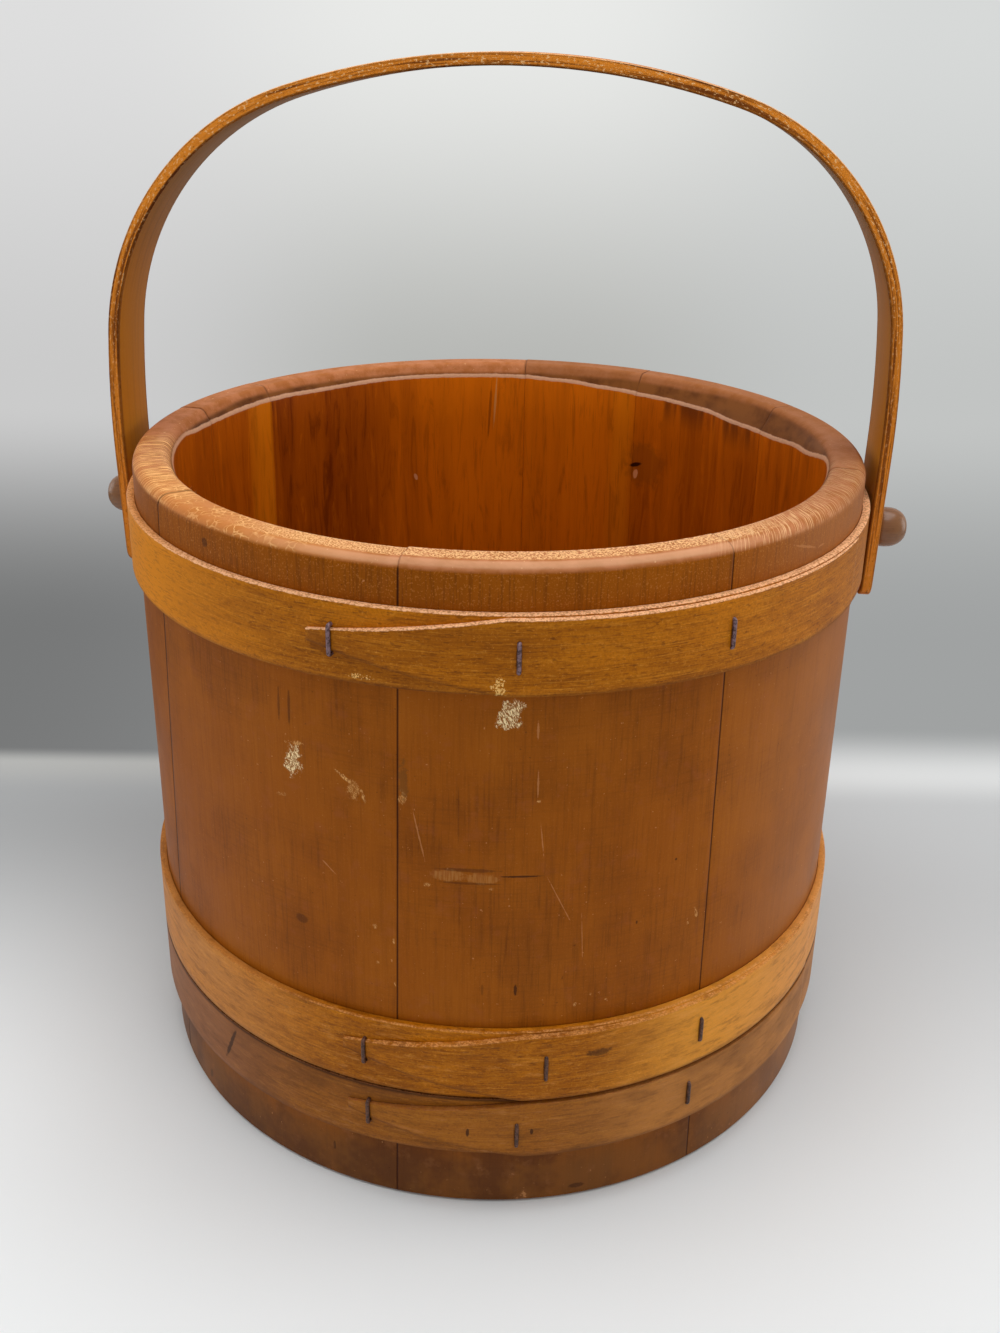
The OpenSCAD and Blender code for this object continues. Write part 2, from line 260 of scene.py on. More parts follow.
def turn(piece, degrees, steps, centre=(0, 0, 0), start=0):
    """Spins a section about an upright axis, from a start angle, in degrees."""
    edit(piece, "FACE")
    bpy.ops.mesh.spin(steps=steps, angle=math.radians(degrees), center=(0, 0, 0), axis=(0, 0, -1))
    leave_edit()
    place(piece, Matrix.Translation(centre) @ Matrix.Rotation(math.radians(start), 4, "Z"))


def turn_round(piece, steps):
    """Spins a line all the way round an upright axis."""
    edit(piece, "EDGE")
    bpy.ops.mesh.spin(steps=steps, angle=2 * math.pi, center=(0, 0, 0), axis=(0, 0, -1))
    bpy.ops.mesh.select_all(action="SELECT")
    bpy.ops.mesh.remove_doubles(threshold=0.001 * MM)
    leave_edit()


def place(piece, matrix):
    """Moves a piece and applies the move, so that its object stays at the origin."""
    clear_selection()
    bpy.context.view_layer.objects.active = piece
    piece.select_set(True)
    piece.matrix_world = matrix @ piece.matrix_world
    bpy.ops.object.transform_apply(location=True, rotation=True, scale=True)


def cut(piece, point, normal):
    """Cuts off what lies on the normal's side of a plane and closes the cut."""
    edit(piece)
    bpy.ops.mesh.bisect(plane_co=point, plane_no=normal, use_fill=True, clear_outer=True, threshold=0.0001 * MM)
    leave_edit()


def apply_modifier(piece, kind, **settings):
    clear_selection()
    bpy.context.view_layer.objects.active = piece
    piece.select_set(True)
    modifier = piece.modifiers.new(kind.title(), kind)
    for key, value in settings.items():
        setattr(modifier, key, value)
    bpy.ops.object.modifier_apply(modifier=modifier.name)


def soften(piece, width, segments=2, degrees=35):
    """Rounds every edge that is sharper than an angle."""
    apply_modifier(piece, "BEVEL", width=width, segments=segments, limit_method="ANGLE",
                   angle_limit=math.radians(degrees), use_clamp_overlap=True)


def join(pieces, name):
    clear_selection()
    for piece in pieces:
        piece.select_set(True)
    bpy.context.view_layer.objects.active = pieces[0]
    bpy.ops.object.join()
    pieces[0].name = pieces[0].data.name = name
    return pieces[0]


def point_outwards(piece):
    edit(piece)
    bpy.ops.mesh.normals_make_consistent(inside=False)
    leave_edit()


def mark(piece, name, value_of):
    """Writes a number on every vertex, which the materials read by its name."""
    data = piece.data.attributes.new(name, "FLOAT", "POINT").data
    for vertex, item in zip(piece.data.vertices, data):
        item.value = value_of(vertex.co)


def hand_over(piece, material, body, slot, *nodes, smooth=30):
    """Smooths a finished piece, gives it its material, hangs it under its body and hides the CAD nodes that it stands
    for.
    """
    point_outwards(piece)
    clear_selection()
    bpy.context.view_layer.objects.active = piece
    piece.select_set(True)
    bpy.ops.object.shade_smooth_by_angle(angle=math.radians(smooth))
    piece.data.materials.clear()
    piece.data.materials.append(material)
    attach(piece, body)
    if nodes:
        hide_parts(*nodes)


# Shader maths


class Value:
    """A shader socket whose arithmetic adds Math nodes."""

    def __init__(self, finish, socket):
        self.finish, self.socket = finish, socket

    def math(self, operation, *others, clamp=False):
        return self.finish.add("ShaderNodeMath", {"operation": operation, "use_clamp": clamp}, [self, *others])

    def __add__(self, other):
        return self.math("ADD", other)

    def __sub__(self, other):
        return self.math("SUBTRACT", other)

    def __mul__(self, other):
        return self.math("MULTIPLY", other)

    def __truediv__(self, other):
        return self.math("DIVIDE", other)

    def __neg__(self):
        return self * -1

    def __abs__(self):
        return self.math("ABSOLUTE")

    def __pow__(self, other):
        return self.math("POWER", other)

    def __rsub__(self, other):
        return self.finish.add("ShaderNodeMath", {"operation": "SUBTRACT"}, [other, self])

    def __rtruediv__(self, other):
        return self.finish.add("ShaderNodeMath", {"operation": "DIVIDE"}, [other, self])

    __radd__ = __add__
    __rmul__ = __mul__

    def within(self, low, high, soft):
        """1 between low and high and 0 outside, smooth over a width."""
        return self.ramp(low - soft, low + soft) * self.ramp(high + soft, high - soft)

    def ramp(self, low, high):
        """0 below low and 1 above high, smooth between; low may be the larger one."""
        return self.finish.add("ShaderNodeMapRange", {"interpolation_type": "SMOOTHSTEP"},
                               {"Value": self, "From Min": low, "From Max": high})


class Finish:
    """A material, or the room's light, that is built from shader values."""

    def __init__(self, name, tree=None, surface="Principled BSDF"):
        if not tree:
            self.material = bpy.data.materials.new(name)
            self.material.use_nodes = True
            tree = self.material.node_tree
        self.nodes, self.links = tree.nodes, tree.links
        self.surface = self.nodes[surface]
        self.place = self.add("ShaderNodeTexCoord", output="Object")
        x, y, z = (self.add("ShaderNodeSeparateXYZ", {}, [self.place], output=i) for i in range(3))
        self.x, self.y, self.z = x, y, z

    def add(self, kind, settings=None, inputs=None, output=0):
        """Adds a node, sets it up, then fills its sockets with values or links."""
        node = self.nodes.new(kind)
        for key, value in (settings or {}).items():
            if key == "stops":
                ramp = node.color_ramp.elements
                while len(ramp) < len(value):
                    ramp.new(0.5)
                for stop, (at, shade) in zip(ramp, value):
                    stop.position, stop.color = at, (*shade, 1)
            else:
                setattr(node, key, value)
        inputs = inputs or {}
        for key, value in enumerate(inputs) if isinstance(inputs, list) else inputs.items():
            self.feed(node.inputs[key], value)
        return Value(self, node.outputs[output])

    def feed(self, socket, value):
        if isinstance(value, Value):
            self.links.new(value.socket, socket)
        elif socket.type == "RGBA" and len(value) == 3:
            socket.default_value = (*value, 1)
        else:
            socket.default_value = value

    def set(self, **inputs):
        """Feeds the surface's own sockets, named with underscores for spaces."""
        for key, value in inputs.items():
            self.feed(self.surface.inputs[key.replace("_", " ")], value)

    def read(self, name):
        """A number that was marked on the piece's vertices."""
        return self.add("ShaderNodeAttribute", {"attribute_name": name}, output="Fac")

    def vector(self, x, y, z):
        return self.add("ShaderNodeCombineXYZ", {}, [x, y, z])

    def noise(self, place, scale=1.0, detail=3.0, roughness=0.55, distortion=0.0):
        return self.add("ShaderNodeTexNoise", {"noise_dimensions": "3D"},
                        {"Vector": place, "Scale": scale, "Detail": detail, "Roughness": roughness,
                         "Distortion": distortion}, output="Fac")

    def mix(self, share, first, second, blend="MIX"):
        """A colour between two colours."""
        node = self.nodes.new("ShaderNodeMix")
        node.data_type, node.blend_type = "RGBA", blend
        for socket, value in ((node.inputs[0], share), (node.inputs[6], first), (node.inputs[7], second)):
            self.feed(socket, value)
        return Value(self, node.outputs[2])

    def seen(self):
        """1 for rays that show the floor or the room to the camera, also in reflections."""
        rays = [self.add("ShaderNodeLightPath", output=key)
                for key in ("Is Camera Ray", "Is Glossy Ray", "Is Transmission Ray")]
        return either(*rays)

    def mix_value(self, share, first, second):
        """A number between two numbers."""
        return first + (second - first) * share

    def bump(self, height, distance, strength=1.0):
        normal = self.add("ShaderNodeBump", {}, {"Height": height, "Distance": distance, "Strength": strength})
        self.feed(self.surface.inputs["Normal"], normal)

    def lines(self, scale, width, bend):
        """Thin lines of a cracked network, bent by a vector."""
        place = self.add("ShaderNodeVectorMath", {"operation": "ADD"}, [self.place, bend])
        edges = self.add("ShaderNodeTexVoronoi", {"feature": "DISTANCE_TO_EDGE"},
                         {"Vector": place, "Scale": scale})
        return edges.ramp(width, width * 0.3)

    def round_axis(self, cut_angle):
        """Angle round the pail's axis in radians, with its jump at an angle in degrees, and radius."""
        middle = math.radians(cut_angle - 180)
        c, s = math.cos(middle), math.sin(middle)
        along = self.x * c + self.y * s
        across = self.y * c - self.x * s
        return across.math("ARCTAN2", along), (self.x * self.x + self.y * self.y).math("SQRT")


def blend(first, second, share):
    return tuple(a + (b - a) * share for a, b in zip(first, second))


def stave_finish(name):
    """Varnish over upright grain: worn outside, bare rim, saturated inside."""
    c = colours()
    f = Finish(name)
    angle, radius = f.round_axis(JOINTS[8][0])
    arc = angle * BASE_RADIUS
    tone, joint, fall, clean = f.read("tone"), f.read("joint"), f.read("fall"), f.read("clean")
    middle = BASE_RADIUS - 6.5 * MM - f.z * ((BASE_RADIUS - sizes().rim_radius) / STAVE_TOP)
    inside = (radius - middle).ramp(1 * MM, -1 * MM)
    outside = 1 - inside
    crest = f.mix_value(inside, f.z.ramp(STAVE_TOP - 2.9 * MM, STAVE_TOP - 1.8 * MM), clean.ramp(-0.9 * MM, 0.7 * MM))
    front = f.x.math("ARCTAN2", -f.y) * (180 / math.pi)
    back = f.x.math("ARCTAN2", f.y) * (180 / math.pi)

    grain = f.noise(f.vector(arc * 520, f.z * 11, tone * 40), 1.0, 4, 0.6, 0.6)
    broad = f.noise(f.vector(arc * 70, f.z * 4, tone * 17 + 3), 1.0, 3, 0.5, 0.8)
    fine = f.noise(f.vector(arc * 1700, f.z * 60, tone * 9), 1.0, 2, 0.6)
    cloud = f.noise(f.vector(arc * 16, f.z * 13, tone * 5 + 8), 1.0, 5, 0.62)
    tooling = f.noise(f.vector(arc * 60, f.z * 1500, 3.0), 1.0, 2, 0.5)
    specks = f.noise(f.place, 900, 2, 0.5)
    grit = f.noise(f.place, 1900, 2, 0.6)
    blobs = f.noise(f.place, 190, 4, 0.62)

    # Outside: brown varnish, redder and darker towards the floor, with soft cloudy streaks and a painted reflection on
    # the right side
    patchy = f.noise(f.vector(arc * 34, f.z * 26, tone * 3 + 2), 1.0, 5, 0.66)
    skin = f.mix(tone, c.stave, blend(c.stave, c.stave_pale, 0.35))
    skin = f.mix(cloud.ramp(0.36, 0.7) * 0.55, skin, c.stave_pale)
    skin = f.mix(patchy.ramp(0.42, 0.7) * 0.34, skin, c.stave_dark)
    skin = f.mix(broad.ramp(0.5, 0.76) * 0.25, skin, c.stave_dark)
    skin = f.mix(grain.ramp(0.46, 0.8) * (0.3 + 0.7 * patchy.ramp(0.35, 0.65)) * 0.38, skin, c.stave_dark)
    ribs = patchy.ramp(0.4, 0.62)
    skin = f.mix(fine.ramp(0.5, 0.7) * (0.14 + 0.2 * ribs), skin, tint(86, 42, 8))
    skin = f.mix(fine.ramp(0.48, 0.3) * (1 - ribs) * 0.1, skin, tint(190, 112, 34))
    skin = f.mix(tooling.ramp(0.46, 0.7) * patchy.ramp(0.36, 0.6) * 0.22, skin, c.stave_dark)
    skin = f.mix(grit.ramp(0.56, 0.68) * 0.12, skin, tint(190, 120, 52))
    skin = f.mix(blobs.ramp(0.54, 0.72) * 0.2, skin, tint(156, 86, 50))
    shoulder = f.z.ramp(198 * MM, 203 * MM)
    skin = f.mix(shoulder * 0.55, skin, tint(146, 76, 0))
    skin = f.mix(shoulder * fine.ramp(0.5, 0.62) * 0.3, skin, tint(96, 48, 8))
    skin = f.mix(shoulder * grit.ramp(0.56, 0.66) * 0.3, skin, tint(206, 134, 60))
    skin = f.mix(f.z.ramp(34 * MM, 10 * MM) * (0.45 + 0.4 * broad), skin, tint(104, 68, 34))
    low = f.z.ramp(30 * MM, 22 * MM)
    skin = f.mix(low * patchy.ramp(0.44, 0.62) * 0.5, skin, tint(74, 36, 18))
    skin = f.mix(low * blobs.ramp(0.56, 0.7) * 0.2, skin, tint(156, 100, 56))
    # Painted reflection: a paler pinkish tan on the right side, where a lamp's soft sheen falls
    skin = f.mix(front.within(46, 110, 12) * 0.2, skin, tint(186, 130, 84))
    skin = f.mix(specks.ramp(0.72, 0.77) * 0.45, skin, tint(214, 150, 92))
    skin = f.mix(specks.ramp(0.27, 0.23) * 0.5, skin, tint(60, 28, 10))
    chips = blobs.ramp(0.68, 0.71) * f.z.ramp(18 * MM, 3 * MM)
    skin = f.mix(chips * 0.7, skin, tint(190, 130, 78))

    # Inside: saturated varnish with upright streaks, some staves dark and some orange
    deep = back.within(-59.9, -30, 0.25) * back.ramp(-24, -40)
    gold = back.within(-67, -59.9, 0.25) * back.ramp(-72, -62) + back.within(20.6, 25.4, 1.4) * 0.8
    inner = f.mix(broad.ramp(0.4, 0.68) * 0.6, c.inside, blend(c.inside, c.inside_dark, 0.6))
    inner = f.mix(back.ramp(24, 30) * (0.2 + 0.3 * broad), inner, tint(184, 84, 4))
    inner = f.mix(back.ramp(-66, -72) * 0.55, inner, tint(158, 70, 4))
    inner = f.mix(deep * (0.3 + 0.6 * broad), inner, c.inside_dark)
    inner = f.mix(gold.math("MINIMUM", 1.0) * 0.55, inner, tint(220, 126, 14))
    inner = f.mix(back.within(-20, 22, 8) * 0.5, inner, tint(236, 122, 6))
    drip = f.noise(f.vector(arc * 210, f.z * 26, tone * 11), 1.0, 5, 0.65, 1.4)
    inner = f.mix(drip.ramp(0.5, 0.68) * (0.3 + deep * 0.3), inner, tint(92, 30, 3))
    inner = f.mix(drip.ramp(0.45, 0.33) * 0.3, inner, tint(226, 118, 10))
    inner = f.mix(grain.ramp(0.5, 0.74) * (0.08 + deep * 0.2), inner, tint(92, 30, 3))
    inner = f.mix(fine.ramp(0.58, 0.74) * 0.25, inner, tint(96, 34, 6))
    columns = f.noise(f.vector(arc * 95, f.z * 7, 4.0), 1.0, 3, 0.6)
    stain = columns.ramp(0.46, 0.6) * back.within(28, 66, 4) * fall.ramp(-0.012, -0.001)
    inner = f.mix(stain * 0.6, inner, tint(58, 28, 12))
    inner = f.mix(columns.ramp(0.42, 0.7) * back.ramp(27, 34) * 0.22, inner, tint(104, 42, 6))
    inner = f.mix(f.z.ramp(STAVE_TOP * 0.8, STAVE_TOP * 0.2) * 0.4, inner, tint(74, 24, 4))
    inner = inside_marks(f, inner, back, blobs)

    # Rim: varnish rubbed off, with pale scratches across it, crazing on the left, fine specks in front and a painted
    # highlight on the outer rounding in front
    hatch = f.noise(f.vector(angle * 260 + radius * 1500, radius * 120, 0.0), 1.0, 2, 0.6)
    radial = f.noise(f.vector(angle * 250 + radius * 200, radius * 90, f.z * 90), 1.0, 3, 0.65)
    craze = f.lines(430, 0.1, f.vector(blobs * 5 * MM, cloud * 4 * MM, grain * 1 * MM))
    top = f.mix(blobs.ramp(0.36, 0.66), c.rim, tint(166, 98, 48))
    top = f.mix(front.within(-62, -14, 8) * 0.45, top, tint(206, 132, 56))
    top = f.mix(radial.ramp(0.5, 0.56) * front.within(-80, -48, 6) * 0.95, top, tint(244, 190, 122))
    top = f.mix(craze * front.within(-56, -22, 8) * blobs.ramp(0.42, 0.6) * 0.8, top, tint(236, 182, 118))
    ledge = radius.ramp(113.8 * MM, 112.6 * MM) * front.within(-30, 44, 10)
    top = f.mix(grit.ramp(0.44, 0.56) * ledge * 0.75, top, tint(244, 196, 136))
    top = f.mix(grit.ramp(0.46, 0.4) * ledge * 0.35, top, tint(160, 92, 44))
    top = f.mix(hatch.ramp(0.52, 0.58) * front.within(36, 82, 6) * 0.75, top, c.rim_pale)
    top = f.mix(specks.ramp(0.68, 0.75) * 0.5, top, c.rim_pale)
    # Painted highlight: a pale pink band on the rim's outer rounding in front, where the overhead light glints
    brow_highlight = radius.ramp(113.6 * MM, 114.6 * MM) * radius.ramp(116.3 * MM, 115.6 * MM)
    brow_highlight = brow_highlight * front.within(-24, 40, 10)
    top = f.mix(brow_highlight * (0.2 + 0.5 * cloud), top, tint(228, 176, 136))
    top = f.mix(front.ramp(44, 74) * (0.2 + 0.5 * cloud), top, tint(126, 76, 38))
    top = f.mix(radius.ramp(113.2 * MM, 115 * MM) * front.within(-84, -34, 8) * 0.45, top, tint(186, 110, 52))

    # Bevel inside the rim: dark, with a pale frayed lip where it meets the wall
    frayed = f.noise(f.vector(arc * 260, f.z * 500, 2.0), 1.0, 4, 0.65)
    shade = f.noise(f.vector(arc * 60, f.z * 90, 7.0), 1.0, 4, 0.62)
    bevel = f.mix(shade.ramp(0.38, 0.66), tint(130, 78, 36), tint(92, 50, 22))
    lip = (fall + (frayed - 0.5) * 0.8 * MM).within(-0.6 * MM, 0.75 * MM, 0.2 * MM)
    bevel_zone = fall.ramp(-0.3 * MM, 0.2 * MM)

    hue = f.mix(inside, skin, inner)
    hue = f.mix(inside * bevel_zone, hue, bevel)
    hue = f.mix(inside * lip * (0.72 + 0.4 * specks), hue, tint(222, 170, 134))
    hue = f.mix(crest, hue, top)
    groove = (joint * (1 - 0.5 * front.ramp(-38, -58))).ramp(0.36 * MM, 0.12 * MM)
    dark = outside * 0.9 * (1 - crest) + crest * 0.35 + inside * 0.1
    hue = f.mix(groove * dark * (0.7 + 0.4 * patchy), hue, tint(56, 22, 6))
    hue = marks(f, hue, outside * (1 - crest))

    gloss = f.noise(f.vector(arc * 30, f.z * 30, 0.0), 1.0, 3, 0.6)
    rough = 0.36 + gloss * 0.14 + crest * 0.14 - inside * 0.06
    f.set(Base_Color=hue, Roughness=rough, Specular_IOR_Level=0.06)
    height = (grain * 0.45 + fine * 0.2 + tooling * 0.3 * outside + (radial + hatch + grit) * crest * 0.5
              - groove * 0.6 - craze * crest * 0.3)
    f.bump(height, 0.1 * MM, 0.6)
    return f.material


def blot(f, front, at, height, wide, tall, lean, edge, rag):
    """A ragged ellipse on the front, at an angle in degrees and a height, half sizes and lean given."""
    across = front - math.radians(at + 90) * BASE_RADIUS
    up = f.z - height * MM
    c, s = math.cos(math.radians(lean)), math.sin(math.radians(lean))
    u = (across * c - up * s) / (wide * MM)
    v = (across * s + up * c) / (tall * MM)
    distance = (u * u + v * v).math("SQRT") + (edge - 0.5) * 2.2 * rag
    return distance.ramp(1.15, 0.75)


def inside_marks(f, hue, back, blobs):
    """A knot with a pale fleck, a pale crack and a fleck on the far wall."""
    arc = back * (math.pi / 180 * 104 * MM)

    def spot(at, height, wide, tall, lean, rag):
        across = arc - math.radians(90 - at) * 104 * MM
        up = f.z - height * MM
        c, s = math.cos(math.radians(lean)), math.sin(math.radians(lean))
        u = (across * c - up * s) / (wide * MM)
        v = (across * s + up * c) / (tall * MM)
        return ((u * u + v * v).math("SQRT") + (blobs - 0.5) * rag).ramp(1.15, 0.7)

    hue = f.mix(spot(60.5, 178, 9, 9, 0, 1.5) * 0.4, hue, tint(120, 62, 16))
    hue = f.mix(spot(63.0, 177.5, 3.0, 0.9, -18, 0.6) * 0.95, hue, tint(40, 12, 4))
    hue = f.mix(spot(62.9, 173.6, 1.0, 2.0, 8, 1.4) * 0.85, hue, tint(226, 150, 96))
    crack = spot(96.1, 198, 0.45, 10.5, 3, 0.9)
    hue = f.mix(crack * 0.6, hue, tint(214, 150, 84))
    hue = f.mix(spot(97.3, 194, 0.5, 12, 3, 0.9) * 0.5, hue, tint(84, 24, 6))
    return f.mix(spot(114.1, 167.2, 0.8, 1.6, -20, 0.8) * 0.9, hue, tint(216, 150, 100))


def marks(f, hue, where):
    """Chips, scars and dents on the front of the staves: place in degrees and mm, half sizes in mm."""
    c = colours()
    edge = f.noise(f.place, 520, 5, 0.75)
    front = f.x.math("ARCTAN2", -f.y) * BASE_RADIUS
    fibre = f.noise(f.vector(front * 2200 + f.z * 900, f.z * 800 - front * 500, 0.0), 1.0, 3, 0.75, 0.6)
    flecks = fibre.ramp(0.47, 0.56)
    chips = [(-113.1, 149.2, 2.5, 4.6, 12, 1.0), (-112.3, 155.2, 1.9, 0.6, -10, 0.7), (-82.9, 173.4, 2.9, 2.2, 0, 1.0),
             (-83.4, 170.0, 3.0, 2.3, 0, 1.0), (-97.0, 144.9, 1.2, 1.7, 0, 0.55), (-105.4, 148.3, 2.6, 0.5, 34, 0.9),
             (-103.9, 144.6, 1.9, 3.0, 0, 0.5), (-102.6, 143.6, 0.5, 2.6, -14, 0.7), (-115.4, 137.2, 1.8, 0.5, -12, 0.3),
             (-114.3, 154.6, 0.5, 0.5, 0, 0.7), (-79.1, 145.6, 0.6, 0.5, 0, 0.7), (-93.8, 117.8, 0.9, 0.6, 0, 0.5),
             (-85.2, 117.8, 0.8, 0.4, 0, 0.5), (-101.3, 101.2, 0.6, 0.7, 0, 0.7),
             (-98.6, 96.9, 0.35, 1.0, 0, 0.7), (-98.5, 82.0, 0.35, 0.8, 0, 0.6), (-101.0, 88.5, 0.6, 0.6, 0, 0.5),
             (-54.7, 99.3, 0.5, 1.6, -16, 0.6), (-56.0, 96.7, 0.4, 0.6, 0, 0.6), (-73.1, 76.3, 0.5, 0.7, 0, 0.5),
             (-68.5, 76.4, 0.6, 0.4, 0, 0.5), (-70.9, 79.2, 0.4, 0.6, 0, 0.4)]
    for at, height, wide, tall, lean, strength in chips:
        spot = blot(f, front, at, height, wide, tall, lean, edge, 1.5)
        hue = f.mix(spot * where * strength * 0.75, hue, tint(158, 98, 42))
        hue = f.mix(spot * where * flecks * strength, hue, c.bare if strength == 1 else tint(228, 170, 100))
    scar = either(blot(f, front, -90.8, 121.6, 4.9, 1.9, 0, edge, 0.8),
                  blot(f, front, -86.3, 121.0, 4.4, 1.7, 0, edge, 0.8))
    ribs = f.noise(f.vector(front * 1500, f.z * 150, 0.0), 1.0, 2, 0.5)
    hue = f.mix(scar * where * (0.25 + ribs.ramp(0.4, 0.6) * 0.45), hue, tint(178, 118, 58))
    scratches = [(-79.3, 150.5, 0.25, 4.5, 0), (-78.5, 133.0, 0.18, 5.0, -6), (-75.9, 113.3, 0.18, 8.5, -25),
                 (-94.9, 133.5, 0.22, 8.0, -12), (-79.5, 167.0, 0.35, 2.6, 0), (-108.2, 118.0, 0.25, 3.2, -50),
                 (-39.0, 205.9, 6.0, 0.35, 16), (-34.6, 204.0, 1.4, 0.3, 0), (-72.5, 100.0, 0.13, 7.5, -3)]
    for at, height, wide, tall, lean in scratches:
        hue = f.mix(blot(f, front, at, height, wide, tall, lean, edge, 1.2) * where * 0.5, hue, tint(198, 132, 78))
    hue = f.mix(blot(f, front, -96.9, 150.3, 1.3, 5.8, -4, edge, 1.4) * where * 0.4, hue, tint(84, 62, 30))
    dents = [(-81.2, 121.8, 6.0, 0.35, 0, 0.8), (-88.2, 123.6, 9.0, 0.6, 0, 0.45), (-88.2, 119.3, 9.0, 0.4, 0, 0.4),
             (-115.1, 165.7, 0.4, 5.0, 2, 0.45),
             (-113.4, 165.7, 0.5, 5.2, 2, 0.5), (-86.2, 83.0, 0.4, 2.0, 0, 0.3), (-81.6, 83.0, 0.5, 2.0, 0, 0.8),
             (-112.9, 96.8, 2.2, 1.5, 0, 0.45), (-58.9, 120.4, 0.4, 0.4, 0, 0.7), (-64.5, 101.9, 0.3, 0.6, 0, 0.7),
             (-71.6, 4.2, 2.6, 1.0, 0, 0.6), (-137.8, 6.2, 1.0, 2.2, 20, 0.5), (-108.9, 12.3, 0.5, 1.8, 0, 0.6),
             (-89.6, 141.0, 0.25, 9.0, 0, 0.25), (-83.0, 100.0, 0.3, 9.0, 4, 0.2), (-127.6, 206.0, 1.2, 1.4, 0, 0.6)]
    for at, height, wide, tall, lean, depth in dents:
        hue = f.mix(blot(f, front, at, height, wide, tall, lean, edge, 0.5) * where * depth, hue, tint(52, 26, 10))
    return hue


def either(*masks):
    """The largest of several masks."""
    result = masks[0]
    for other in masks[1:]:
        result = result.math("MAXIMUM", other)
    return result


